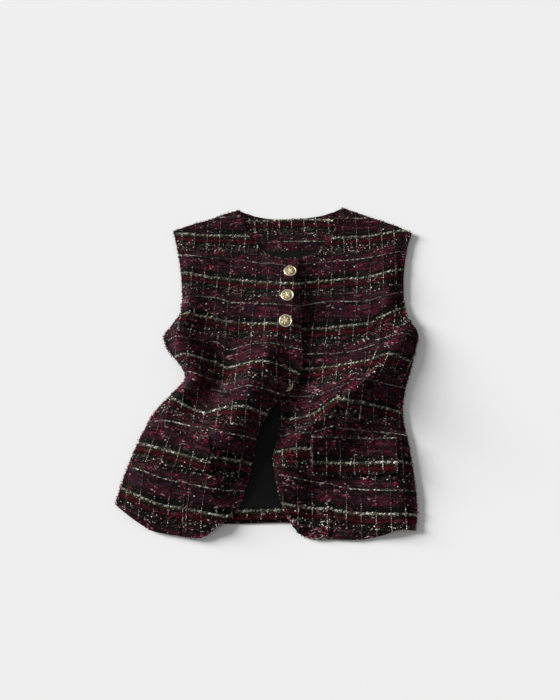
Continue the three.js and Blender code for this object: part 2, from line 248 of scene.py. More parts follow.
# The ground's colour at each share of the repeat, and the dyes of the slubs
BANDS = [
    (0.000, (0.0075, 0.0072, 0.0042)),
    (0.045, (0.0080, 0.0058, 0.0034)),
    (0.070, (0.0150, 0.0034, 0.0037)),
    (0.100, (0.0560, 0.0048, 0.0084)),
    (0.135, (0.0540, 0.0048, 0.0084)),
    (0.165, (0.0095, 0.0036, 0.0035)),
    (0.210, (0.0040, 0.0046, 0.0028)),
    (0.360, (0.0070, 0.0056, 0.0045)),
    (0.410, (0.0200, 0.0078, 0.0092)),
    (0.490, (0.0190, 0.0080, 0.0090)),
    (0.560, (0.0100, 0.0058, 0.0066)),
    (0.640, (0.0165, 0.0048, 0.0080)),
    (0.780, (0.0190, 0.0056, 0.0082)),
    (0.860, (0.0105, 0.0060, 0.0060)),
    (0.900, (0.0038, 0.0056, 0.0038)),
    (1.000, (0.0055, 0.0068, 0.0040)),
]
SLUBS = [
    (0.00, (0.0290, 0.0100, 0.0280)),
    (0.18, (0.0480, 0.0150, 0.0260)),
    (0.34, (0.0920, 0.0120, 0.0210)),
    (0.45, (0.1500, 0.0260, 0.0450)),
    (0.54, (0.0820, 0.0480, 0.0540)),
    (0.68, (0.0380, 0.0340, 0.0340)),
    (0.78, (0.0050, 0.0110, 0.0065)),
    (0.88, (0.0030, 0.0024, 0.0022)),
]
# How much of each band is slubs, and how much is pale flecks
SLUB_SHARE = [(0.00, 0.18), (0.07, 0.15), (0.18, 0.18), (0.38, 0.55), (0.50, 0.35), (0.58, 0.30),
              (0.68, 0.50), (0.86, 0.35), (0.92, 0.15), (1.0, 0.18)]
FLECK_SHARE = [(0.00, 0.05), (0.17, 0.05), (0.235, 0.55), (0.285, 0.16), (0.335, 0.58), (0.37, 0.09),
               (0.56, 0.045), (0.86, 0.05), (0.90, 0.06), (1.0, 0.05)]


def ramp(tree, value, stops, constant=False):
    """A colour ramp over a value, from a table of places and colours."""
    node = add(tree, "ValToRGB", {0: value})
    scale = node.color_ramp
    scale.interpolation = "CONSTANT" if constant else "LINEAR"
    while len(scale.elements) < len(stops):
        scale.elements.new(0.5)
    for element, (at, tone) in zip(scale.elements, stops):
        element.position = at
        element.color = (*tone, 1) if isinstance(tone, tuple) else (tone, tone, tone, 1)
    return node.outputs[0]


def blended(tree, share, below, above):
    """One colour laid over another by a share."""
    return add(tree, "Mix", {0: share, 6: below, 7: above}, data_type="RGBA").outputs[2]


def tweed_group():
    """Colour and relief of the tweed at a place in the cloth, in millimetres."""
    tree = bpy.data.node_groups.new("boucle tweed", "ShaderNodeTree")
    tree.interface.new_socket("Cloth", in_out="INPUT", socket_type="NodeSocketVector")
    tree.interface.new_socket("Lines", in_out="INPUT", socket_type="NodeSocketFloat")
    for name, kind in (("Colour", "Color"), ("Relief", "Float"), ("Dullness", "Float")):
        tree.interface.new_socket(name, in_out="OUTPUT", socket_type="NodeSocket" + kind)
    given = tree.nodes.new("NodeGroupInput").outputs
    cloth, lines = given[0], given[1]
    split = add(tree, "SeparateXYZ", {0: cloth})
    u, v = split.outputs[0], split.outputs[1]

    def scaled(vector, across, down):
        return add(tree, "VectorMath", {0: vector, 1: (across, down, 1)}, operation="MULTIPLY").outputs[0]

    def noise(across, down, detail=2.0, roughness=0.5):
        sockets = {"Vector": scaled(cloth, across, down), "Scale": 1.0,
                   "Detail": detail, "Roughness": roughness}
        return add(tree, "TexNoise", sockets, noise_dimensions="2D").outputs[0]

    def wander(across, down, amount, value, detail=2.0):
        """A value shifted a little from place to place, by up to half the amount each way."""
        aside = maths(tree, "SUBTRACT", noise(across, down, detail), 0.5)
        return maths(tree, "MULTIPLY_ADD", aside, amount, value)

    def at(x, y):
        return add(tree, "CombineXYZ", {0: x, 1: y}).outputs[0]

    def chance(x, y):
        return add(tree, "TexWhiteNoise", {"Vector": at(x, y)}, noise_dimensions="2D").outputs[0]

    def soft_step(value, low, high):
        sockets = {0: value, 1: low, 2: high, 3: 0.0, 4: 1.0}
        return add(tree, "MapRange", sockets, interpolation_type="SMOOTHSTEP").outputs[0]

    def off(value, centre):
        return maths(tree, "ABSOLUTE", maths(tree, "SUBTRACT", value, centre))

    def times(*values):
        product = values[0]
        for value in values[1:]:
            product = maths(tree, "MULTIPLY", product, value)
        return product

    def blobs(across, down, shares, low, high):
        """Loose lumps of yarn: which of them show, and two more chances for each."""
        sockets = {"Vector": scaled(at(u, v), 1 / across, 1 / down), "Scale": 1.0, "Randomness": 1.0}
        spots = add(tree, "TexVoronoi", sockets, voronoi_dimensions="2D")
        luck = add(tree, "SeparateColor", {0: spots.outputs["Color"]}).outputs
        ragged = maths(tree, "MULTIPLY_ADD", off(noise(0.9, 1.2, 2.0), 0.5), 0.5, spots.outputs["Distance"])
        shows = maths(tree, "LESS_THAN", luck[0], shares)
        return times(shows, soft_step(ragged, high, low)), luck[1], luck[2]

    # The bands, streaky along the picks, with clouds of plum, wine and green
    v = wander(0.03, 0.05, 3.0, v)
    v = wander(0.45, 0.3, 1.1, v, 1.0)
    into = maths(tree, "FLOORED_MODULO", v, REPEAT)
    share = maths(tree, "DIVIDE", into, REPEAT)
    colour = ramp(tree, wander(0.16, 0.6, 0.045, share), BANDS)
    patchy = times(noise(0.06, 0.22, 3.0, 0.6), 1.5)
    streaks = maths(tree, "MULTIPLY_ADD", noise(0.10, 0.85, 2.0, 0.6), 1.7, 0.15)
    strength = times(patchy, streaks, 1.25)
    colour = add(tree, "VectorMath", {0: colour, "Scale": strength}, operation="SCALE").outputs[0]
    plum = times(soft_step(noise(0.030, 0.055, 2.0), 0.52, 0.66), soft_step(off(share, 0.66), 0.22, 0.08))
    wine = times(soft_step(noise(0.045, 0.13, 3.0), 0.53, 0.66), soft_step(off(share, 0.66), 0.30, 0.12))
    green = times(soft_step(noise(0.055, 0.16, 2.0), 0.52, 0.62), soft_step(off(share, 0.50), 0.36, 0.44))
    colour = blended(tree, times(plum, 0.6), colour, (0.026, 0.012, 0.027, 1))
    colour = blended(tree, times(wine, 0.6), colour, (0.080, 0.009, 0.022, 1))
    colour = blended(tree, times(green, 0.6), colour, (0.0045, 0.0135, 0.0075, 1))

    # Slubs of other colours, large soft ones under small sharp ones
    slub_share = ramp(tree, share, SLUB_SHARE)
    cloud = soft_step(noise(0.035, 0.08, 2.0, 0.6), 0.34, 0.66)
    soft, soft_dye, _ = blobs(13.0, 3.4, slub_share, 0.25, 0.80)
    nub, nub_dye, _ = blobs(6.0, 1.9, times(slub_share, 0.8), 0.10, 0.55)
    for mask, dye, strength in ((soft, soft_dye, 0.50), (nub, nub_dye, 0.55)):
        dyed = maths(tree, "MULTIPLY_ADD", cloud, 0.30, times(dye, 0.70))
        colour = blended(tree, times(mask, strength), colour, ramp(tree, dyed, SLUBS, True))

    # Weave: rounded picks that go over and under, with painted shade darkening the narrow gaps between them
    pick = maths(tree, "DIVIDE", v, YARN)
    row = maths(tree, "FLOOR", pick)
    across_pick = maths(tree, "FRACT", pick)
    rounded = times(across_pick, maths(tree, "SUBTRACT", 1.0, across_pick))
    over = maths(tree, "FRACT", maths(tree, "MULTIPLY_ADD", u, 1 / FLOAT, times(row, 0.5)))
    over = times(over, maths(tree, "SUBTRACT", 1.0, over))
    weave = times(rounded, maths(tree, "ADD", over, 0.12))
    fuzz = noise(1.1, 1.3, 3.0, 0.7)
    # Share of the cloth on a pick; the rest, in the gaps, is darkened by painted shade
    clear_of_gap_shade = soft_step(weave, 0.0, 0.05)
    colour = blended(tree, maths(tree, "MULTIPLY_ADD", clear_of_gap_shade, -0.45, 0.45), colour, PAINTED_GAP_SHADE)
    relief = maths(tree, "MULTIPLY_ADD", fuzz, 0.7, times(weave, 7.5))
    relief = maths(tree, "MULTIPLY_ADD", nub, 0.45, relief)

    # Pale flecks, thick in the two dotted rows
    fleck, tint, glow = blobs(2.3, 1.8, ramp(tree, share, FLECK_SHARE), 0.10, 0.34)
    pale = ramp(tree, tint, [(0.0, (0.36, 0.34, 0.29)), (0.45, (0.19, 0.12, 0.12)),
                             (1.0, (0.46, 0.44, 0.39))])
    colour = blended(tree, times(fleck, maths(tree, "MULTIPLY_ADD", glow, 0.7, 0.3)), colour, pale)
    relief = maths(tree, "MULTIPLY_ADD", fleck, 0.35, relief)

    # The bold cream line, a looped yarn with olive and rust below it
    past = maths(tree, "SUBTRACT", maths(tree, "FLOORED_MODULO", maths(tree, "ADD", v, 3.5), REPEAT), 3.0)
    phase = maths(tree, "MULTIPLY_ADD", noise(0.3, 0.1), 3.0, times(u, 2 * math.pi / LOOP))
    swing = times(maths(tree, "SINE", phase), 0.95)
    crossed = maths(tree, "ABSOLUTE", maths(tree, "ADD", past, swing))
    strand = maths(tree, "MINIMUM", off(past, swing), crossed)
    loop = soft_step(wander(0.9, 0.9, 1.6, strand), 0.85, 0.30)
    faint = soft_step(noise(0.045, 0.02, 2.0, 0.6), 0.28, 0.50)
    bright = times(chance(maths(tree, "FLOOR", times(u, 1 / 1.55)), maths(tree, "FLOOR", times(v, 1 / 60.0))),
                   maths(tree, "MULTIPLY_ADD", faint, 0.65, 0.35))
    cream = ramp(tree, bright, [(0.0, (0.035, 0.036, 0.024)), (0.35, (0.16, 0.155, 0.12)),
                                (1.0, (0.58, 0.56, 0.48))])
    olive = times(soft_step(off(past, 2.8), 1.9, 0.8), soft_step(noise(0.55, 0.8), 0.50, 0.62))
    colour = blended(tree, times(olive, 0.7), colour, (0.050, 0.045, 0.007, 1))
    colour = blended(tree, times(loop, lines), colour, cream)
    relief = maths(tree, "MULTIPLY_ADD", times(loop, lines), 0.9, relief)

    # The thin pale line
    thin_off = wander(0.8, 0.8, 1.6, off(into, THIN_LINE * REPEAT))
    knots = chance(maths(tree, "FLOOR", times(u, 1 / 1.3)), maths(tree, "FLOOR", times(v, 1 / 60.0)))
    thin = times(soft_step(thin_off, 0.85, 0.35), maths(tree, "MULTIPLY_ADD", knots, 0.8, 0.2), lines)
    colour = blended(tree, thin, colour, (0.34, 0.33, 0.31, 1))
    relief = maths(tree, "MULTIPLY_ADD", thin, 0.4, relief)

    # Dotted threads down the cloth
    strand = maths(tree, "DIVIDE", wander(0.05, 0.07, 2.4, u), THREADS)
    which = maths(tree, "ROUND", strand)
    aside = times(off(strand, which), THREADS)
    step = maths(tree, "MULTIPLY_ADD", v, 1 / DOT_STEP, times(which, 0.37))
    shows = chance(maths(tree, "FLOOR", step), which)
    near_line = soft_step(maths(tree, "ABSOLUTE", past), 16.0, 3.0)
    kept = maths(tree, "GREATER_THAN", maths(tree, "MULTIPLY_ADD", near_line, 0.3, shows), 0.40)
    on_step = soft_step(off(maths(tree, "FRACT", step), 0.5), 0.32, 0.16)
    dot = times(soft_step(aside, 0.85, 0.35), on_step, kept, times(lines, lines))
    dot_dye = blended(tree, near_line, (0.24, 0.21, 0.19, 1), (0.60, 0.56, 0.50, 1))
    colour = blended(tree, dot, colour, dot_dye)
    relief = maths(tree, "MULTIPLY_ADD", dot, 0.6, relief)

    out = tree.nodes.new("NodeGroupOutput")
    tree.links.new(colour, out.inputs[0])
    tree.links.new(relief, out.inputs[1])
    tree.links.new(maths(tree, "MULTIPLY_ADD", fuzz, 0.2, 0.75), out.inputs[2])
    return tree


tweed_pattern = tweed_group()


def tweed_cloth(name, lines):
    """The tweed as a material, with its lines and threads as strong as given in its colour."""
    tweed, tree, shader = material_of(name, (0.05, 0.02, 0.03), 0.9)
    woven = add(tree, "Group", node_tree=tweed_pattern)
    tree.links.new(add(tree, "UVMap", uv_map="cloth").outputs[0], woven.inputs["Cloth"])
    woven.inputs["Lines"].default_value = lines
    tree.links.new(woven.outputs["Colour"], shader.inputs["Base Color"])
    tree.links.new(woven.outputs["Dullness"], shader.inputs["Roughness"])
    raised = add(tree, "Bump", {"Height": woven.outputs["Relief"], "Distance": 0.001, "Strength": 1.0})
    tree.links.new(raised.outputs[0], shader.inputs["Normal"])
    shader.inputs["Specular IOR Level"].default_value = 0.02
    shader.inputs["Sheen Weight"].default_value = 0.006
    shader.inputs["Sheen Roughness"].default_value = 0.5
    shader.inputs["Sheen Tint"].default_value = (0.8, 0.62, 0.64, 1)
    return tweed


flat_tweed = tweed_cloth("boucle tweed, pressed", 1.0)
tweed = tweed_cloth("boucle tweed", 0.40)

# The height on the plan of each bold line, from the neck down
LINES_ON_BACK = [194, 116, 43, -31, -103, -172, -240]
OUTER_SEAMS = {"shoulder": 30, "armhole": 30, "underarm": 6, "side": 74}


def plain_weave(x, y):
    """Place in the cloth where its lines run straight across the plan."""
    down = np.interp(-y, [-line for line in LINES_ON_BACK], np.arange(len(LINES_ON_BACK)) * REPEAT)
    return x, down - np.maximum(y - LINES_ON_BACK[0], 0) + np.maximum(LINES_ON_BACK[-1] - y, 0)


outer_left = {seam: smooth(OVER[seam], count) for seam, count in OUTER_SEAMS.items()}
outer_right = {seam: smooth(UNDER[seam], count) for seam, count in OUTER_SEAMS.items()}
over_outline = chain(*outer_left.values())
under_outline = chain(*outer_right.values())
back_hem = smooth(BACK_HEM, 120)
back_plan = four_sided(
    left=shifted(chain(outer_left["armhole"], outer_left["underarm"], outer_left["side"]), PAST_FRONTS),
    right=shifted(chain(outer_right["armhole"], outer_right["underarm"], outer_right["side"]), -PAST_FRONTS),
    top=chain(outer_left["shoulder"][::-1], smooth(BACK_NECK, 60), outer_right["shoulder"]),
    bottom=back_hem)
back = cloth_sheet("back_cloth", back_plan, lambda x, y: np.full(len(x), BACK), BACK, plain_weave, flat_tweed)
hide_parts("back")

# Facings. Strips of the same tweed inside the back, at its neck and turned up at its hem. They are
# sewn to the back along the edge and to the lining along the other side.
FACING = 1.5
NECK_FACING = {
    "top": [[-54, 237], [-40, 231.5], [-12, 226.5], [15, 226], [44, 228.5], [72, 234], [86, 239.5]],
    "right": [[86, 239.5], [88, 226], [100, 214], [116, 204]],
    "bottom": [[-92, 204], [-78, 184], [-42, 172], [15, 169], [70, 173], [101, 184], [116, 204]],
    "left": [[-54, 237], [-57, 222], [-72, 212], [-92, 204]],
}
NECK_LINE = [[-60, 221], [-20, 223], [20, 225], [60, 225], [100, 223]]
HEM_FACING_DEPTH = 17
HEM_FACING_ENDS = (-204, 168)
HEM_LINE_BELOW_TOP = 3.5


def neck_weave(x, y):
    """The bold line runs close under the neck edge."""
    line = along(NECK_LINE, np.linspace(0, 1, 41))
    return x + 0.06 * (y - 200), np.interp(x, line[:, 0], line[:, 1]) - y


neck_facing = cloth_sheet(
    "back_neck_facing_cloth",
    four_sided(smooth(NECK_FACING["left"], 30), smooth(NECK_FACING["right"], 30),
               smooth(NECK_FACING["top"], 90), smooth(NECK_FACING["bottom"], 90)),
    lambda x, y: INSIDE_BACK + FACING + 0.25 * np.sin(x / 19) * np.sin(y / 11), FACING, neck_weave, tweed)
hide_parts("back_neck_facing")

within = (back_hem[:, 0] > HEM_FACING_ENDS[0]) & (back_hem[:, 0] < HEM_FACING_ENDS[1])
hem_low = shifted(back_hem, 1)[within]
hem_high = shifted(back_hem, HEM_FACING_DEPTH)[within]


def hem_weave(x, y):
    """The bold line runs along the turned-up hem, close under its upper edge."""
    return x + 6, np.interp(x, hem_high[:, 0], hem_high[:, 1]) - HEM_LINE_BELOW_TOP - y


hem_facing = cloth_sheet(
    "back_hem_facing_cloth",
    four_sided(smooth([hem_high[0], hem_low[0]], 8), smooth([hem_high[-1], hem_low[-1]], 8),
               hem_high, hem_low),
    lambda x, y: INSIDE_BACK + FACING + 0.2 * np.sin(x / 23), FACING, hem_weave, tweed)
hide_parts("back_hem_facing")

# Lining. Black satin inside the back, sewn to the facings, with a little slack in soft wrinkles.
LINING = 1.0
LINING_INSET = 19
LINING_SPAN = (-218, 165)
LINING_GRID = 80
satin, satin_tree, satin_shader = material_of("black satin", (0.003, 0.003, 0.003), 0.38)
satin_at = add(satin_tree, "UVMap", uv_map="cloth").outputs[0]
satin_grain = add(satin_tree, "VectorMath", {0: satin_at, 1: (2.4, 0.25, 1)}, operation="MULTIPLY").outputs[0]
satin_yarn = add(satin_tree, "TexNoise", {"Vector": satin_grain, "Scale": 1.0, "Detail": 3.0},
                 noise_dimensions="2D").outputs[0]
satin_tone = ramp(satin_tree, satin_yarn, [(0.3, (0.0022, 0.0024, 0.0022)), (0.7, (0.0042, 0.0045, 0.0042))])
satin_dull = maths(satin_tree, "MULTIPLY_ADD", satin_yarn, 0.2, 0.30)
satin_relief = add(satin_tree, "Bump", {"Height": satin_yarn, "Distance": 0.00008, "Strength": 1.0})
satin_tree.links.new(satin_tone, satin_shader.inputs["Base Color"])
satin_tree.links.new(satin_dull, satin_shader.inputs["Roughness"])
satin_tree.links.new(satin_relief.outputs[0], satin_shader.inputs["Normal"])
satin_shader.inputs["Anisotropic"].default_value = 0.4
satin_shader.inputs["Specular IOR Level"].default_value = 0.12


def lining_height(x, y):
    """Outer face of the lining, in soft wrinkles clear of the back."""
    wrinkle = 0.5 * np.sin(x / 13 + 2 * np.sin(y / 41)) * (0.6 + 0.4 * np.sin(y / 29 + x / 60))
    return INSIDE_BACK + LINING + 0.55 + wrinkle


def edge_between(outline, inset, low, high, count):
    """A stretch of an outer edge between two heights on the plan, moved inwards."""
    line = shifted(outline, inset)
    kept = line[(line[:, 1] > low) & (line[:, 1] < high)]
    return smooth(kept[::3], count)


hem_top = shifted(back_hem, HEM_FACING_DEPTH + GAP)[within]
lining_left = edge_between(over_outline, LINING_INSET, *LINING_SPAN, LINING_GRID)
lining_right = edge_between(under_outline, -LINING_INSET, *LINING_SPAN, LINING_GRID)
facing_line = shifted(smooth(NECK_FACING["bottom"], 60), -GAP)
lining_top = smooth(np.vstack([lining_left[:1], facing_line[::6], lining_right[:1]]), LINING_GRID)
lining_low = smooth(np.vstack([lining_left[-1:], hem_top[4:-4:12], lining_right[-1:]]), LINING_GRID)
lining = cloth_sheet("back_lining_cloth", four_sided(lining_left, lining_right, lining_top, lining_low),
                     lining_height, LINING, lambda x, y: (x, y), satin)
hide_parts("back_lining")

# The front below. Two panels joined on a princess seam, from the shoulder to the hem. It lies in one
# long fold from the side to the opening edge, with a sharp crease along it, and a soft one at the hip.
# Fold rows run down each crest: place on the plan, rise, and reach to its left and right.
FRONT = 2.5
UNDER_FRONTS = INSIDE_BACK + FACING + GAP
ON_GROUND = 0.4
OFF_THE_SEAM = (4, 17)
PAST_HEM = (7, 20)
SOFT_WITHIN = 14
UNDER.update({
    "princess": [[193.6, 82], [170, 67], [151, 53.7], [147, 37], [144, 9], [138, -18], [112, -48],
                 [88, -80], [78, -125], [75, -205], [74.5, -241], [73, -280]],
    "side hem": [[73, -280], [93.5, -280.5], [111, -280.5], [141, -275], [167, -267.5], [188, -268]],
    "hem": [[24, -271], [35, -276.5], [47, -279], [73, -280]],
    "neck": [[102, 248], [94.6, 220], [86, 198], [77, 184], [61, 166], [44, 157], [28, 149], [-6, 147.5]],
    "edge": [[-6, 147.5], [-6, 60], [-6, -20], [-1, -75], [0, -110], [-4, -145], [-10, -166], [-7, -190],
             [0.5, -225], [8, -246], [24, -271]],
})
UNDER_FOLDS = {
    "diagonal": [[196, 34, 4, 40, 13], [187, 14, 11, 48, 18], [164, -18, 15, 60, 28],
                 [131, -50, 21, 68, 46], [105, -76, 25, 72, 64], [74, -101, 23, 66, 76],
                 [46, -124, 19, 50, 80], [23, -148, 17, 36, 80], [8, -172, 15.5, 28, 76],
                 [2, -198, 13, 26, 64], [5, -220, 9.5, 26, 54], [13, -246, 4, 22, 36]],
    "hip": [[150, -76, 1, 50, 30], [160, -115, 3, 60, 26], [164, -170, 5, 70, 24],
            [166, -225, 4, 70, 22], [162, -262, 1, 60, 22]],
    "bust": [[172, 165, 1, 40, 26], [167, 118, 6, 52, 28], [164, 80, 6, 52, 30], [158, 44, 3, 50, 36]],
}
UNDER_CREASE = [[158, -26, 0, 12, 10], [130, -51, 3, 13, 12], [105, -76, 4, 14, 12], [74, -101, 4, 13, 12],
                [46, -124, 3, 12, 12], [23, -148, 2, 9, 10], [10, -168, 0, 8, 8]]

# Where the tweed's lines lie on the plan: the line's number (a half is the thin one), then its y at
# each x. Threads: the plan's y, the x of one of them there, and how far apart they are.
UNDER_CENTRE_X = [0, 25, 50, 80, 110, 145, 195]
UNDER_CENTRE_LINES = [
    [0.00, 186, 187, 188, 189, 191, 193, 204],
    [0.53, 140, 142, 144, 147, 150, 154, 166],
    [1.00, 106, 108, 111, 114, 117, 120, 134],
    [1.53, 66, 69, 74, 78, 78, 80, 96],
    [2.00, 31, 31, 32, 34, 37, 42, 60],
    [2.53, -8, -9, -9, -8, -6, 4, 20],
    [3.00, -33, -33, -32, -30, -27, -21, -5],
    [3.53, -73, -76, -78, -69, -58, -45, -30],
    [4.00, -109, -112, -106, -86, -72, -60, -48],
    [5.00, -160, -157, -157, -157, -157, -157, -157],
    [5.53, -194, -198, -202, -205, -208, -210, -212],
    [6.00, -232, -237, -239, -238, -238, -238, -238],
]
UNDER_CENTRE_THREADS = [[150, 83, 20.3], [113, 81, 20.3], [80, 79, 20.4], [33, 71, 21], [-60, 62, 20],
                        [-242, 66, 20.5]]
UNDER_SIDE_X = [75, 100, 125, 155, 185, 210]
UNDER_SIDE_LINES = [
    [1.00, 114, 116, 118, 123, 132, 140],
    [1.53, 76, 78, 80, 84, 93, 100],
    [2.00, 30, 34, 40, 50, 64, 72],
    [2.53, 0, 4, 8, 14, 21, 20],
    [3.00, -44, -34, -27, -15, -17, -26],
    [3.53, -60, -56, -57, -58, -62, -68],
    [4.00, -86, -89, -91, -95, -102, -106],
    [4.53, -126, -128, -129, -131, -134, -136],
    [5.00, -168, -170, -171, -172, -175, -177],
    [5.53, -206, -211, -213, -214, -214, -215],
    [6.00, -241, -245, -246, -247, -247, -251],
]
UNDER_SIDE_THREADS = [[80, 182, 20], [0, 168, 20], [-60, 140, 19], [-120, 134, 20], [-212, 135, 20.3],
                      [-245, 134, 20.7]]


def nearest(line, x, y):
    """Distance from plan points to a line, and which side of it they are on (over 0 is its left)."""
    start, way = line[:-1, :2], np.diff(line[:, :2], axis=0)
    from_x, from_y = x[:, None] - start[:, 0], y[:, None] - start[:, 1]
    share = np.clip((from_x * way[:, 0] + from_y * way[:, 1]) / (way ** 2).sum(1), 0, 1)
    distance = np.hypot(from_x - share * way[:, 0], from_y - share * way[:, 1])
    which = distance.argmin(1)
    row = np.arange(len(x))
    return distance[row, which], way[which, 0] * from_y[row, which] - way[which, 1] * from_x[row, which]


STEPS_PER_ROW = 6


def crest(rows):
    """A fold's crest refined between its rows."""
    rows = np.array(rows, float)
    count = (len(rows) - 1) * STEPS_PER_ROW
    line = along(rows[:, :3], np.linspace(0, 1, count + 1))
    at = np.linspace(0, len(rows) - 1, count + 1)
    reach = [np.interp(at, np.arange(len(rows)), rows[:, k]) for k in (3, 4)]
    return np.column_stack([line[:, :2], np.maximum(line[:, 2], 0), *reach])


CREST_BLEND = 12.0


def fold_rise(crests, x, y, blend=CREST_BLEND, sharp=1.0):
    """How far the folds lift the cloth: each crest falls away on both sides as a soft bell."""
    rise = np.zeros(len(x))
    for line in crests:
        distance, side = nearest(line, x, y)
        further = (line[:, 0] - x[:, None]) ** 2 + (line[:, 1] - y[:, None]) ** 2 - distance[:, None] ** 2
        weight = np.exp(-further / (2 * blend ** 2))
        total = weight.sum(1)
        height = (weight * line[:, 2]).sum(1) / total
        reach = np.where(side > 0, (weight * line[:, 4]).sum(1), (weight * line[:, 3]).sum(1)) / total
        rise += height * (0.5 + 0.5 * np.cos(np.pi * np.minimum(distance / reach, 1) ** sharp))
    return rise


def rest_height(outline, x, y):
    """Underside of a front that lies flat: on the facings, on the back at its outer seams, and on
    the floor past the back's hem."""
    on_back = INSIDE_BACK + (UNDER_FRONTS - INSIDE_BACK) * ease(nearest(outline, x, y)[0], *OFF_THE_SEAM)
    past_hem = ease(np.interp(x, back_hem[:, 0], back_hem[:, 1]) - y, *PAST_HEM)
    return on_back + (ON_GROUND - on_back) * past_hem


def sunk_seam(line, x, y, depth=0.7, width=1.6):
    """A pressed seam: a groove with small puckers beside it."""
    distance = nearest(line, x, y)[0]
    pucker = 0.35 * np.sin(y / 3.1 + 1.3 * np.sin(y / 17)) * np.exp(-((distance - 4) / 3.5) ** 2)
    return pucker - depth * np.exp(-(distance / width) ** 2)


def soft_waves(x, y, turn):
    """The slight unevenness of soft cloth that lies unpressed."""
    return (0.35 * np.sin(x / 17 + turn + 1.1 * np.sin(y / 37)) * np.sin(y / 23 + 0.7 * turn)
            + 0.25 * np.sin((x + y) / 9.5 + 2 * turn) * np.sin((x - y) / 14 + turn))


def turned_edge(line, x, y):
    """An edge where the cloth is turned in is a little thicker a few millimetres in."""
    distance = nearest(line, x, y)[0]
    return 0.45 * np.exp(-((distance - 4.5) / 2.6) ** 2)


def weave_on(stations, lines, threads):
    """The cloth's own coordinates over the plan, from the places of its lines and threads."""
    numbers = np.array([row[0] for row in lines]) * REPEAT
    curves = [along(np.column_stack([stations, row[1:]]), np.linspace(0, 1, 61)) for row in lines]
    threads = np.array(threads, float)[::-1]

    def weave(x, y):
        heights = [np.interp(x, curve[:, 0], curve[:, 1]) for curve in curves]
        down = np.where(y > heights[0], numbers[0] + heights[0] - y, numbers[-1] + heights[-1] - y)
        for k in range(len(lines) - 1):
            between = (y <= heights[k]) & (y > heights[k + 1])
            share = (heights[k] - y) / np.maximum(heights[k] - heights[k + 1], 1)
            down = np.where(between, numbers[k] + share * (numbers[k + 1] - numbers[k]), down)
        thread = np.interp(y, threads[:, 0], threads[:, 1])
        apart = np.interp(y, threads[:, 0], threads[:, 2])
        return (x - thread) / apart * THREADS, down

    return weave


under_crests = [crest(rows) for rows in UNDER_FOLDS.values()]
under_crease = [crest(UNDER_CREASE)]
under_seam = smooth(UNDER["princess"], 60)
under_edge = smooth(UNDER["edge"], 80)
under_open = chain(smooth(UNDER["neck"], 40), under_edge, smooth(UNDER["hem"], 16),
                   smooth(UNDER["side hem"], 24))


def under_form(x, y):
    """Outer face of the front below, with its broad folds."""
    return rest_height(under_outline, x, y) + FRONT + fold_rise(under_crests, x, y)


def under_top(x, y):
    """The same face with its crease, seam, slight waves and turned edges."""
    return (under_form(x, y) + fold_rise(under_crease, x, y, blend=6.0, sharp=0.8)
            + sunk_seam(under_seam, x, y)
            + soft_waves(x, y, 0.4) * ease(nearest(under_open, x, y)[0], 0, SOFT_WITHIN)
            + turned_edge(under_open, x, y))


CHEST_SHARE = 12 / 44


def panels(front, name, top, weaves, opens_right, rows=230, columns=84):
    """A front's centre and side panels, cut from its seams, in place of their solids."""
    chest = round(rows * CHEST_SHARE)
    body = rows - chest
    princess = smooth(front["princess"], body)
    to_centre = GAP / 2 if opens_right else -GAP / 2
    outer = chain(smooth(front["armhole"], chest), shifted(princess, to_centre))
    inner = chain(smooth(front["neck"], chest), smooth(front["edge"], body))
    seam = shifted(princess, -to_centre)
    edge = chain(smooth(front["underarm"], 6), smooth(front["side"], body - 6))
    if opens_right:
        centre = four_sided(outer, inner, smooth(front["shoulder"][::-1], columns),
                            smooth([outer[-1], *front["hem"][1:]], columns))
        side = four_sided(edge, seam, smooth([edge[0], seam[0]], columns // 2),
                          smooth([*front["side hem"][:-1], seam[-1]], columns // 2))
    else:
        centre = four_sided(inner, outer, smooth(front["shoulder"], columns),
                            smooth([*front["hem"][:-1], outer[-1]], columns))
        side = four_sided(seam, edge, smooth([seam[0], edge[0]], columns // 2),
                          smooth([seam[-1], *front["side hem"][1:]], columns // 2))
    made = []
    for part, plan, weave in (("centre", centre, weaves[0]), ("side", side, weaves[1])):
        piece = cloth_sheet(f"{name}_front_{part}_cloth", plan, top, FRONT, weave, tweed, satin)
        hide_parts(f"{name}_front_{part}")
        made.append(piece)
    return made


under_weaves = (weave_on(UNDER_CENTRE_X, UNDER_CENTRE_LINES, UNDER_CENTRE_THREADS),
                weave_on(UNDER_SIDE_X, UNDER_SIDE_LINES, UNDER_SIDE_THREADS))
under_centre, under_side = panels(UNDER, "under", under_top, under_weaves, opens_right=False)

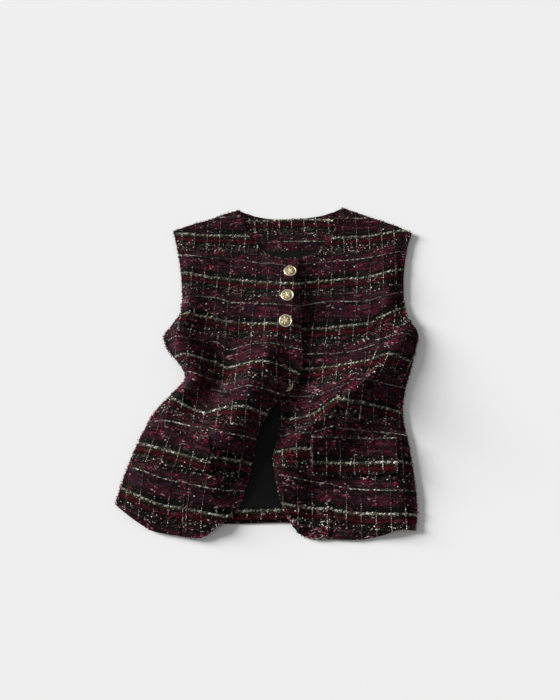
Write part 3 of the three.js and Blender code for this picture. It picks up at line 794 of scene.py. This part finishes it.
# The front on top. Cut and sewn as the one below, it laps over it and is buttoned at the chest. It
# swings open below the buttons in one broad ridge, with a puff at its side and a hollow between.
OVER.update({
    "princess": [[-152.4, 84], [-124, 70.5], [-101.5, 48.7], [-95.5, 4], [-98.5, -43], [-108.5, -97],
                 [-121, -142], [-127, -205], [-132, -241], [-136, -276]],
    "side hem": [[-231, -233], [-221, -241], [-200, -256], [-178, -268.5], [-156, -273], [-136, -276]],
    "hem": [[-136, -276], [-118, -278], [-104, -275.5], [-93, -268.5], [-80, -259]],
    "neck": [[-66, 243], [-60, 219.5], [-48.5, 190], [-34, 173.5], [-22, 161], [-2, 151.5], [28.5, 151]],
    "edge": [[28.5, 151], [31, 78], [32, 12], [31, -40], [15, -60], [-17, -105], [-31, -130],
             [-37, -160], [-45, -197], [-51, -217], [-62, -242], [-80, -259]],
})
OVER_FOLDS = {
    "side puff": [[-150, 52, 3, 9, 34], [-156, 31, 14, 17, 44], [-149, 2, 19, 22, 54],
                  [-138, -28, 17, 17, 50], [-130, -50, 14, 15, 48], [-147, -76, 12, 17, 46],
                  [-163, -100, 7, 20, 44]],
    "body": [[-14, 32, 1, 34, 40], [-22, 8, 8, 44, 48], [-32, -28, 21, 50, 58], [-41, -60, 29, 54, 60],
             [-50, -84, 31, 58, 60], [-60, -108, 30.5, 66, 60], [-72, -130, 29, 84, 60],
             [-91, -152, 26, 100, 60], [-101, -190, 20, 108, 58], [-102, -232, 10, 104, 44],
             [-102, -268, 2, 90, 30]],
    "skirt": [[-160, -98, 1, 24, 40], [-174, -132, 8, 32, 60], [-186, -172, 11, 38, 64],
              [-190, -212, 9, 38, 64], [-188, -250, 1, 36, 50]],
    "placket": [[18, 146, 0.5, 40, 60], [17, 110, 4, 72, 60], [17, 66, 6.5, 78, 60], [18, 30, 5, 66, 60],
                [22, -20, 3, 40, 60], [16, -62, 6, 24, 40], [-16, -104, 3, 24, 40],
                [-34, -150, 3, 24, 40], [-48, -208, 2, 24, 40]],
    "armhole": [[-146, 168, 1, 10, 40], [-147, 140, 3, 11, 44], [-144, 110, 5, 11, 46],
                [-142, 84, 6, 11, 46], [-145, 62, 4, 10, 40]],
}
# Between these distances from the edge of the front below, this one climbs onto it
LAP = (-26, -10)
OVER_CENTRE_X = [-160, -120, -95, -80, -50, -20, 10, 32]
OVER_CENTRE_LINES = [
    [0.00, 198, 194, 194, 194, 192, 190, 189, 188],
    [0.53, 160, 155, 153, 152, 148, 143, 138, 136],
    [1.00, 129, 120, 118, 116, 113, 109, 106, 104],
    [1.53, 84, 85, 83, 77, 75, 72, 68, 66],
    [2.00, 50, 50, 47, 44, 41, 38, 35, 33],
    [2.53, 14, 14, 10, -2, 4, 5, 1, -4],
    [3.00, -20, -20, -24, -31, -29, -28, -34, -46],
    [3.53, -62, -64, -67, -73, -68, -71, -78, -86],
    [4.00, -112, -108, -102, -99, -100, -107, -116, -122],
    [4.53, -126, -126, -130, -137, -140, -146, -154, -160],
    [5.00, -168, -168, -171, -172, -175, -184, -192, -198],
    [5.53, -203, -208, -213, -214, -215, -220, -225, -230],
    [6.00, -232, -242, -247, -249, -249, -252, -256, -260],
]
OVER_CENTRE_THREADS = [[195, -56, 20.4], [113, -59, 20], [42, -63, 19.8], [-60, -66, 20], [-150, -72, 20.5],
                       [-241, -88, 21]]
OVER_SIDE_X = [-225, -190, -160, -135, -105]
OVER_SIDE_LINES = [
    [1.00, 130, 130, 128, 125, 120],
    [1.53, 84, 84, 84, 84, 84],
    [2.00, 57, 57, 56, 53, 51],
    [2.53, 14, 14, 14, 11, 11],
    [3.00, -10, -12, -14, -16, -22],
    [3.53, -36, -36, -37, -41, -50],
    [4.00, -64, -69, -81, -95, -106],
    [4.53, -112, -113, -116, -122, -129],
    [5.00, -140, -150, -158, -164, -171],
    [5.53, -177, -189, -200, -204, -210],
    [6.00, -210, -226, -236, -239, -244],
]
OVER_SIDE_THREADS = [[80, -150, 20], [20, -156, 20], [-60, -160, 20], [-140, -168, 20.5], [-238, -176, 20.5]]

over_crests = [crest(rows) for rows in OVER_FOLDS.values()]
over_seam = smooth(OVER["princess"], 60)
over_open = chain(smooth(OVER["neck"], 40), smooth(OVER["edge"], 80), smooth(OVER["hem"][::-1], 16),
                  smooth(OVER["side hem"][::-1], 24))


def over_form(x, y):
    """Outer face of the front on top, with its lap and its broad folds."""
    distance, side = nearest(under_edge, x, y)
    lap = ease(np.where(side > 0, distance, -distance), *LAP) * (FRONT + GAP + fold_rise(under_crests, x, y))
    return rest_height(over_outline, x, y) + FRONT + lap + fold_rise(over_crests, x, y)


def over_top(x, y):
    """The same face with its seam, turned edges and slight waves."""
    return (over_form(x, y) + sunk_seam(over_seam, x, y) + turned_edge(over_open, x, y)
            + soft_waves(x, y, 2.1) * ease(nearest(over_open, x, y)[0], 0, SOFT_WITHIN))


over_weaves = (weave_on(OVER_CENTRE_X, OVER_CENTRE_LINES, OVER_CENTRE_THREADS),
               weave_on(OVER_SIDE_X, OVER_SIDE_LINES, OVER_SIDE_THREADS))
over_centre, over_side = panels(OVER, "over", over_top, over_weaves, opens_right=True)

# Pocket flaps. A lined flap of tweed on each front, sewn down along its top edge and loose below,
# cut across so that the bold line falls on its lower half. Corners run from the top one nearer -x.
FLAP = 2.0
FLAP_STAND = 1.2
FLAPS = {
    "over": [[-190, -121], [-101.5, -142], [-96, -193], [-208, -173]],
    "under": [[45, -138], [167, -139], [167, -191], [45, -194]],
}
# The bold line's and a thread's places on each flap: y of the line at two xs, then x of a thread and
# how far it leans with each millimetre down
FLAP_WEAVE = {
    "over": dict(line=[[-204, -147], [-93, -180]], thread=-163, lean=0.25),
    "under": dict(line=[[46, -176.5], [162, -175]], thread=86, lean=0.0),
}


def flap_weave(line, thread, lean):
    """The cloth's own coordinates over a flap."""
    (x0, y0), (x1, y1) = line

    def weave(x, y):
        below = y0 + (y1 - y0) * (x - x0) / (x1 - x0) - y
        return x - thread + lean * below, below

    return weave


def flap_sheet(side, front_top):
    """A flap that follows its front, pinched down at its seam and rounded at its loose edges."""
    corners = FLAPS[side]
    edges = [smooth([corners[a], corners[b]], count) for a, b, count in
             ((0, 3, 40), (1, 2, 40), (0, 1, 84), (3, 2, 84))]
    plan = four_sided(*edges)
    rim = chain(edges[0], edges[3], edges[1][::-1])
    seam = edges[2]

    def height(x, y):
        step = 0.5
        slope = np.hypot(front_top(x + step, y) - front_top(x - step, y),
                         front_top(x, y + step) - front_top(x, y - step))
        outward = np.sqrt(1 + slope ** 2)
        loose = nearest(rim, x, y)[0]
        sewn = nearest(seam, x, y)[0]
        lift = FLAP + FLAP_STAND - 0.9 * np.exp(-(sewn / 2.2) ** 2) + 0.3 * np.exp(-((loose - 4) / 2.4) ** 2)
        return front_top(x, y) + lift * outward + 0.3 * np.sin(x / 11 + y / 31)

    piece = cloth_sheet(f"{side}_flap_cloth", plan, height, FLAP, flap_weave(**FLAP_WEAVE[side]), tweed)
    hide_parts(f"{side}_flap")
    return piece


over_flap = flap_sheet("over", over_form)
under_flap = flap_sheet("under", under_form)

# Buttons. Gilt metal shank buttons of 20 mm, cast with a smooth rim round a rosette. Three are done
# up through the front on top; the fourth, undone, is on the front below and peeps out.
# Each button's place on the plan, how far it tips towards the hem in degrees, and the face it sits on.
BUTTONS = [
    [16, 125, 8, over_form],
    [11.5, 82.5, 4, over_form],
    [8.5, 40.5, -8, over_form],
    [9.5, -59, 0, under_form],
]
BUTTON_RADIUS = 10.0
SHANK_RADIUS = 2.6
SHANK_LENGTH = 2.4
SHANK_STAND = 0.8
PETALS = 7
INNER_PETALS = 4
RECESS = 4.3
INSIDE_RIM = 8
# The head's profile from the shank out to the rim and in to the middle: radius and height
HEAD = [[SHANK_RADIUS, SHANK_LENGTH], [9.0, 2.6], [9.75, 3.0], [BUTTON_RADIUS, 3.6], [9.9, 4.15],
        [9.5, 4.55], [9.0, 4.65], [8.4, 4.5], [8.0, 4.15], [7.6, 4.0], [6.8, 4.15], [5.6, 4.5],
        [4.2, 4.8], [2.6, 5.0], [0, 5.1]]

# Its colour follows how high the cast stands: the recesses keep an olive patina
gilt, gilt_tree, gilt_shader = material_of("polished gilt", (0.80, 0.62, 0.36), 0.34)
gilt_shader.inputs["Metallic"].default_value = 1.0
gilt_cast = add(gilt_tree, "SeparateXYZ", {0: add(gilt_tree, "UVMap", uv_map="cast").outputs[0]})
gilt_at = add(gilt_tree, "TexCoord").outputs["Object"]
gilt_cloud = add(gilt_tree, "TexNoise", {"Vector": gilt_at, "Scale": 420.0, "Detail": 3.0}).outputs[0]
gilt_uneven = maths(gilt_tree, "SUBTRACT", gilt_cloud, 0.5)
gilt_worn = maths(gilt_tree, "MULTIPLY_ADD", gilt_uneven, 0.7, gilt_cast.outputs[1])
gilt_tone = ramp(gilt_tree, gilt_worn, [(0.15, (0.38, 0.29, 0.12)), (0.5, (0.74, 0.60, 0.34)),
                                        (0.85, (0.95, 0.86, 0.68))])
gilt_dull = maths(gilt_tree, "MULTIPLY_ADD", gilt_cloud, 0.25, 0.28)
gilt_tree.links.new(gilt_tone, gilt_shader.inputs["Base Color"])
gilt_tree.links.new(gilt_dull, gilt_shader.inputs["Roughness"])


def drop(bm, place, size, turn=0.0, lean=0.0):
    """One raised drop of the relief, flattened and turned."""
    made = bmesh.ops.create_uvsphere(bm, u_segments=10, v_segments=6, radius=1)["verts"]
    bmesh.ops.scale(bm, verts=made, vec=size)
    bmesh.ops.rotate(bm, verts=made, cent=(0, 0, 0), matrix=Matrix.Rotation(lean, 3, "Y"))
    bmesh.ops.rotate(bm, verts=made, cent=(0, 0, 0), matrix=Matrix.Rotation(turn, 3, "Z"))
    bmesh.ops.translate(bm, verts=made, vec=place)


def button_head():
    """Shank and head turned from a profile, with the rosette cast on."""
    bm = bmesh.new()
    profile = [[0, 0], [SHANK_RADIUS, 0], *HEAD]
    verts = [bm.verts.new((r, 0, z)) for r, z in profile]
    edges = [bm.edges.new(pair) for pair in zip(verts, verts[1:])]
    bmesh.ops.spin(bm, geom=verts + edges, cent=(0, 0, 0), axis=(0, 0, 1), dvec=(0, 0, 0),
                   angle=2 * math.pi, steps=56, use_merge=True)
    bmesh.ops.remove_doubles(bm, verts=bm.verts, dist=0.001)
    bmesh.ops.recalc_face_normals(bm, faces=bm.faces)
    turned = len(bm.verts)
    for k in range(PETALS):
        turn = 2 * math.pi * k / PETALS
        drop(bm, (5.0 * math.cos(turn), 5.0 * math.sin(turn), 4.45), (2.2, 1.5, 0.55), turn + 0.35, 0.12)
        half = turn + math.pi / PETALS
        drop(bm, (6.9 * math.cos(half), 6.9 * math.sin(half), 4.1), (1.1, 0.7, 0.4), half + 1.2)
    for k in range(INNER_PETALS):
        turn = 2 * math.pi * k / INNER_PETALS + 0.3
        drop(bm, (1.7 * math.cos(turn), 1.7 * math.sin(turn), 4.95), (1.4, 0.9, 0.45), turn + 0.5)
    cast = bm.loops.layers.uv.new("cast")
    bm.verts.index_update()
    for face in bm.faces:
        for loop in face.loops:
            r, z = math.hypot(*loop.vert.co[:2]), loop.vert.co[2]
            in_rim = r < INSIDE_RIM
            raised = z - RECESS if in_rim else 1.0
            raised = min(max(raised - (0.35 if loop.vert.index < turned and in_rim else 0), 0), 1)
            loop[cast].uv = (r / BUTTON_RADIUS, raised)
    for face in bm.faces:
        face.smooth = True
    return bm


for number, (x, y, tip, form) in enumerate(BUTTONS, 1):
    near_x = np.array([x + 0.5, x - 0.5, x, x, x])
    near_y = np.array([y, y, y + 0.5, y - 0.5, y])
    z = form(near_x, near_y)
    normal = Vector((z[1] - z[0], z[3] - z[2], 1)).normalized()
    tilt = math.radians(tip)
    lift = SHANK_STAND + SHANK_RADIUS * abs(math.sin(tilt))
    seat = Vector((x + PLAN_SHIFT[0], y + PLAN_SHIFT[1], z[4])) + normal * lift
    normal.rotate(Matrix.Rotation(-tilt, 3, "X"))
    bm = button_head()
    bmesh.ops.rotate(bm, verts=bm.verts, cent=(0, 0, 0),
                     matrix=Vector((0, 0, 1)).rotation_difference(normal).to_matrix())
    bmesh.ops.translate(bm, verts=bm.verts, vec=seat)
    bmesh.ops.scale(bm, verts=bm.verts, vec=(0.001, 0.001, 0.001))
    mesh = bpy.data.meshes.new(f"button_{number}_gilt")
    bm.to_mesh(mesh)
    bm.free()
    mesh.materials.append(gilt)
    button = bpy.data.objects.new(f"button_{number}_gilt", mesh)
    scene.collection.objects.link(button)
    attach(button, "root")
    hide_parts(f"button_{number}")

# Raised yarns. The boldest yarns stand proud of the tweed: the looped cream line, the thin line, the
# dotted threads, pale flecks, coloured slubs, and loose loops along the edges. Each is many small beads.
# The dyes run from cream to dun, then from pink over crimson to plum, olive and black.
DYES = [
    (0.00, (0.62, 0.60, 0.51)),
    (0.15, (0.40, 0.39, 0.32)),
    (0.28, (0.17, 0.165, 0.12)),
    (0.38, (0.050, 0.050, 0.032)),
    (0.46, (0.46, 0.36, 0.36)),
    (0.56, (0.26, 0.10, 0.13)),
    (0.66, (0.26, 0.020, 0.050)),
    (0.76, (0.16, 0.010, 0.024)),
    (0.84, (0.050, 0.011, 0.026)),
    (0.92, (0.045, 0.040, 0.008)),
    (1.00, (0.006, 0.009, 0.006)),
]
LONGEST_HOP = 6.0
luck = np.random.default_rng(41)
# One bead of yarn: a rounded shape of twenty faces, a millimetre long before it is sized
bm = bmesh.new()
bmesh.ops.create_icosphere(bm, subdivisions=1, radius=0.53)
bmesh.ops.rotate(bm, verts=bm.verts, cent=(0, 0, 0), matrix=Matrix.Rotation(math.pi / 2, 3, "Y"))
bm.verts.index_update()
BEAD = np.array([vert.co for vert in bm.verts])
BEAD_FACES = [[vert.index for vert in face.verts] for face in bm.faces]
bm.free()

yarn, yarn_tree, yarn_shader = material_of("raised yarn", (0.4, 0.35, 0.3), 0.85)
yarn_dye = add(yarn_tree, "SeparateXYZ", {0: add(yarn_tree, "UVMap", uv_map="dye").outputs[0]})
yarn_at = add(yarn_tree, "TexCoord").outputs["Object"]
yarn_fibre = add(yarn_tree, "TexNoise", {"Vector": yarn_at, "Scale": 1500.0, "Detail": 2.0}).outputs[0]
yarn_fuzz = maths(yarn_tree, "MULTIPLY_ADD", yarn_fibre, 1.2, 0.4)
yarn_glow = maths(yarn_tree, "MULTIPLY", yarn_fuzz, yarn_dye.outputs[1])
yarn_plain = ramp(yarn_tree, yarn_dye.outputs[0], DYES)
yarn_tone = add(yarn_tree, "VectorMath", {0: yarn_plain, "Scale": yarn_glow}, operation="SCALE")
yarn_tree.links.new(yarn_tone.outputs[0], yarn_shader.inputs["Base Color"])
yarn_raised = add(yarn_tree, "Bump", {"Height": yarn_fibre, "Distance": 0.0004, "Strength": 1.0})
yarn_tree.links.new(yarn_raised.outputs[0], yarn_shader.inputs["Normal"])
yarn_shader.inputs["Specular IOR Level"].default_value = 0.05


def unit(vectors):
    """The same directions, each of length 1."""
    return vectors / np.linalg.norm(vectors, axis=-1, keepdims=True)


class Yarns:
    """Beads of yarn gathered for one sheet of cloth."""

    def __init__(self, sheet):
        self.points, self.cloth = surfaces[sheet]
        across, down = np.gradient(self.points, axis=1), np.gradient(self.points, axis=0)
        up = unit(np.cross(across, down))
        self.up = up * np.sign(up[..., 2:])
        self.across, self.down = unit(across), -unit(down)
        self.verts, self.dyes = [], []

    def course(self, axis, value, spacing):
        """Evenly spaced places along the line where one of the cloth's coordinates has a value."""
        known = np.concatenate([self.points, self.up, self.cloth], axis=2)
        if axis == 0:
            known = known.transpose(1, 0, 2)
        found = []
        for k in range(known.shape[1]):
            line = known[:, k]
            at = line[:, 6 + axis]
            order = np.argsort(at)
            if at[order[0]] < value < at[order[-1]]:
                found.append([np.interp(value, at[order], line[order, c]) for c in range(8)])
        if len(found) < 3:
            return None
        found = np.array(found)
        hops = np.linalg.norm(np.diff(found[:, :3], axis=0), axis=1)
        run = np.concatenate([[0], np.cumsum(hops)])
        stops = np.arange(spacing / 2, run[-1], spacing)
        stops = stops[np.interp(stops, (run[:-1] + run[1:]) / 2, hops) < LONGEST_HOP]
        even = np.column_stack([np.interp(stops, run, found[:, c]) for c in range(8)])
        if len(even) < 3:
            return None
        way = unit(np.gradient(even[:, :3], axis=0))
        return even[:, :3], unit(even[:, 3:6]), way, even[:, 6:]

    def scatter(self, count):
        """Random places over the sheet."""
        rows, columns = self.points.shape[:2]
        i, j = luck.integers(0, rows - 1, count), luck.integers(0, columns - 1, count)
        a, b = luck.random((2, count, 1))

        def mix(grid):
            return ((grid[i, j] * (1 - a) + grid[i + 1, j] * a) * (1 - b)
                    + (grid[i, j + 1] * (1 - a) + grid[i + 1, j + 1] * a) * b)

        return mix(self.points), unit(mix(self.up)), unit(mix(self.across)), mix(self.cloth)

    def lay(self, places, size, dye, glow, turn=0.0, sideways=0.0, lift=0.0):
        """Add a bead at each place: its size along, across and up, its dye and brightness."""
        points, up, way, _ = places
        side = np.cross(up, way)
        turn = np.broadcast_to(turn, len(points))[:, None]
        ahead = way * np.cos(turn) + side * np.sin(turn)
        beside = np.cross(up, ahead)
        size = np.broadcast_to(size, (len(points), 3))
        sideways, lift = (np.broadcast_to(value, len(points))[:, None] for value in (sideways, lift))
        middle = points + side * sideways + up * lift
        bead = BEAD[None] * size[:, None]
        placed = (middle[:, None] + bead[..., :1] * ahead[:, None] + bead[..., 1:2] * beside[:, None]
                  + bead[..., 2:] * up[:, None])
        self.verts.append(placed)
        self.dyes.append(np.column_stack([np.broadcast_to(value, len(points)) for value in (dye, glow)]))

    def joined(self, name):
        """All the beads as one piece."""
        verts = np.concatenate(self.verts)
        dyes = np.concatenate(self.dyes)
        count = len(verts)
        verts[..., 2] = np.maximum(verts[..., 2], 0.05)
        faces = [[corner + k * len(BEAD) for corner in face] for k in range(count) for face in BEAD_FACES]
        mesh = bpy.data.meshes.new(name)
        mesh.from_pydata((verts.reshape(-1, 3) * 0.001).tolist(), [], faces)
        layer = mesh.uv_layers.new(name="dye")
        corners = sum(len(face) for face in BEAD_FACES)
        layer.data.foreach_set("uv", np.repeat(dyes, corners, axis=0).ravel())
        mesh.polygons.foreach_set("use_smooth", np.ones(len(mesh.polygons), bool))
        mesh.materials.append(yarn)
        piece = bpy.data.objects.new(name, mesh)
        scene.collection.objects.link(piece)
        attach(piece, "root")
        return piece


def uneven(count, group, power):
    """Brightness of the beads along a yarn, much the same for a few of them together."""
    return np.repeat(luck.random(count // group + 1) ** power, group)[:count]


def bold_line(yarns, number):
    """The looped cream yarn of one repeat, with an olive and rust fringe below it."""
    places = yarns.course(1, number * REPEAT - 0.5, 1.2)
    if places is None:
        return
    count = len(places[0])
    side = np.where(np.arange(count) % 2, 1, -1)
    u = places[3][:, 0]
    faint = 0.66 + 0.34 * np.sin(u / 19 + number * 2.1) * np.sin(u / 7.3 + number)
    size = np.array([2.7, 1.4, 1.1]) * (0.7 + 0.6 * luck.random((count, 1)))
    yarns.lay(places, size, 0.27 * luck.random(count), faint * (0.12 + 2.1 * uneven(count, 2, 2.0)),
              turn=side * (0.70 + 0.3 * luck.standard_normal(count)),
              sideways=side * 0.75 + 0.4 * luck.standard_normal(count), lift=0.45)
    fringe = yarns.course(1, number * REPEAT + 2.0, 3.2)
    if fringe is not None:
        count = len(fringe[0])
        dye = np.where(luck.random(count) < 0.5, 0.92, 0.38 + 0.6 * luck.random(count))
        yarns.lay(fringe, (2.2, 1.0, 0.8), dye, 0.9, turn=luck.standard_normal(count) * 0.4,
                  sideways=luck.standard_normal(count) * 0.9, lift=0.15)


def thin_line(yarns, number):
    """The thin pale yarn of one repeat."""
    places = yarns.course(1, (number + THIN_LINE) * REPEAT, 1.5)
    if places is None:
        return
    count = len(places[0])
    side = np.where(np.arange(count) % 2, 1, -1)
    faint = 0.62 + 0.38 * np.sin(places[3][:, 0] / 23 + number * 1.7)
    yarns.lay(places, (2.2, 1.25, 1.0), 0.28 * luck.random(count),
              faint * (0.08 + 1.75 * uneven(count, 2, 2.2)),
              turn=side * 0.35 + 0.2 * luck.standard_normal(count),
              sideways=0.35 * luck.standard_normal(count), lift=0.3)


def dotted_thread(yarns, number):
    """One pale thread down the cloth, brightest where it crosses the bold line and the dotted rows."""
    places = yarns.course(0, number * THREADS, 2.9)
    if places is None:
        return
    v = places[3][:, 1] / REPEAT
    near = (np.exp(-((v - np.round(v)) * REPEAT / 12) ** 2)
            + 0.7 * np.exp(-((v - 0.28 - np.round(v - 0.28)) * REPEAT / 7) ** 2))
    kept = luck.random(len(v)) < 0.40 + 0.55 * near
    places = [part[kept] for part in places]
    count = len(places[0])
    slubby = (v[kept] % 1 > 0.36) & (luck.random(count) < 0.45)
    dye = np.where(slubby, 0.46 + 0.12 * luck.random(count), 0.14 * luck.random(count))
    yarns.lay(places, (2.0, 1.05, 1.0), dye,
              (0.40 + 0.85 * near[kept]) * (0.14 + 1.5 * luck.random(count) ** 1.7),
              turn=0.2 * luck.standard_normal(count), sideways=0.25 * luck.standard_normal(count), lift=0.35)


def patches(cloth, across, down, turn):
    """A smooth share over the cloth, high in loose patches of a size given in millimetres."""
    u, v = cloth[:, 0] / across, cloth[:, 1] / down
    wave = (np.sin(2.1 * u + turn + 1.4 * np.sin(0.9 * v + turn)) + np.sin(2.7 * v - 0.8 * u + 2 * turn)
            + np.sin(1.3 * u + 1.9 * v + 3 * turn))
    return 0.5 + wave / 6


def speckle(yarns, area):
    """Flecks and slubs, as thick as each band of the tweed has them. Area is in square centimetres."""
    places = yarns.scatter(int(area * 6.5))
    share = (places[3][:, 1] / REPEAT) % 1
    thick = np.interp(share, *zip(*FLECK_SHARE)) * (0.35 + 1.3 * patches(places[3], 17, 30, 1.0))
    kept = luck.random(len(share)) < thick
    chosen = [part[kept] for part in places]
    count = len(chosen[0])
    yarns.lay(chosen, np.array([2.2, 1.15, 1.0]) * (0.6 + 0.7 * luck.random((count, 1))),
              np.where(luck.random(count) < 0.85, 0.18 * luck.random(count), 0.48 + 0.1 * luck.random(count)),
              0.12 + 1.6 * luck.random(count) ** 1.7, turn=0.5 * luck.standard_normal(count), lift=0.25)
    places = yarns.scatter(int(area * 7.5))
    share = (places[3][:, 1] / REPEAT) % 1
    where = patches(places[3], 14, 12, 2.6)
    thick = np.interp(share, *zip(*SLUB_SHARE)) * (0.03 + 1.35 * ease(where, 0.50, 0.78))
    kept = luck.random(len(share)) < thick
    chosen = [part[kept] for part in places]
    count = len(chosen[0])
    size = np.array([4.6, 2.1, 0.9]) * (0.6 + 0.7 * luck.random((count, 1)))
    dye = 0.52 + 0.30 * patches(chosen[3], 24, 20, 4.1) + 0.10 * luck.standard_normal(count)
    yarns.lay(chosen, size, np.clip(dye, 0.50, 0.98), 0.28 + 0.62 * luck.random(count) ** 1.5,
              turn=0.2 * luck.standard_normal(count), lift=0.0)


EDGES = {"top": np.s_[0], "bottom": np.s_[-1], "left": np.s_[:, 0], "right": np.s_[:, -1]}
EDGE_DYES = [0.05, 0.48, 0.56, 0.66, 0.76, 0.84, 1.0]
EDGE_SHARES = [0.10, 0.14, 0.14, 0.18, 0.17, 0.12, 0.15]


def loose_edge(yarns, edge, spacing, bright, width=0.6, fray=0.0):
    """Loops and nubs that an edge lets go, pink and pale among the dark, and frayed ends past it."""
    points, up = yarns.points[EDGES[edge]], yarns.up[EDGES[edge]]
    run = np.concatenate([[0], np.cumsum(np.linalg.norm(np.diff(points, axis=0), axis=1))])
    stops = np.sort(luck.random(int(run[-1] / spacing)) * run[-1])
    even = np.column_stack([np.interp(stops, run, column) for column in np.hstack([points, up]).T])
    ahead = np.column_stack([np.interp(stops, run, column) for column in np.gradient(points, run, axis=0).T])
    places = even[:, :3], unit(even[:, 3:]), unit(ahead), None
    count = len(stops)
    dye = luck.choice(EDGE_DYES, count, p=EDGE_SHARES)
    frayed = luck.random(count) < fray
    size = np.array([2.1, 1.0, 0.9]) * (0.6 + 0.8 * luck.random((count, 1)))
    size[frayed] = np.array([4.2, 0.45, 0.45])
    # The brightness given per edge carries painted shade on the flaps' edges and painted light on the side
    # edge of the front on top
    yarns.lay(places, size, dye, bright * (0.5 + 0.8 * luck.random(count)),
              turn=np.where(frayed, 1.57 + 0.6 * luck.standard_normal(count),
                            0.8 * luck.standard_normal(count)),
              sideways=width * luck.standard_normal(count), lift=-0.9 + 1.1 * luck.random(count))


# The area of each sheet in square centimetres, and its edges: spacing of the loops, how bright they are, how
# wide a band they take, and how much of it is frayed.
# The brightness also paints light and shade: the loops along the flaps' loose edges are dimmed as painted
# shade, and along the side edge of the front on top they are packed thick and bright, partly real loose yarn
# and partly painted light where the low light from the left catches the puff. Then which repeats and threads
# may cross a sheet
YARNS_ON = {
    "under_front_centre": (745, {"top": (1.0, 0.6), "left": (1.1, 0.5), "bottom": (0.7, 0.8, 0.8, 0.25)}),
    "under_front_side": (370, {"right": (1.0, 0.7), "bottom": (0.7, 0.8, 0.8, 0.25)}),
    "over_front_centre": (715, {"top": (1.0, 0.8), "left": (1.0, 0.8), "right": (1.1, 0.4),
                                "bottom": (0.8, 0.6, 0.7, 0.15)}),
    # Thick, bright loops here: partly real loose yarn, partly painted light on the edge that faces the light
    "over_front_side": (300, {"left": (0.35, 0.9, 0.9, 0.01), "bottom": (0.7, 0.8, 0.8, 0.2)}),
    # Flap edges: loops dimmed as painted shade
    "over_flap": (53, {"left": (1.4, 0.35), "right": (1.4, 0.35), "bottom": (1.4, 0.35)}),
    "under_flap": (72, {"left": (1.4, 0.35), "right": (1.4, 0.35), "bottom": (1.4, 0.35)}),
    "back_neck_facing": (94, {"top": (1.2, 0.5)}),
    "back_hem_facing": (62, {}),
}
REPEATS_CROSSED = range(-1, 7)
THREADS_CROSSED = range(-14, 15)
for sheet, (area, edges) in YARNS_ON.items():
    yarns = Yarns(sheet + "_cloth")
    for number in REPEATS_CROSSED:
        bold_line(yarns, number)
        thin_line(yarns, number)
    for number in THREADS_CROSSED:
        dotted_thread(yarns, number)
    speckle(yarns, area)
    for edge, settings in edges.items():
        loose_edge(yarns, edge, *settings)
    yarns.joined(sheet + "_yarns")
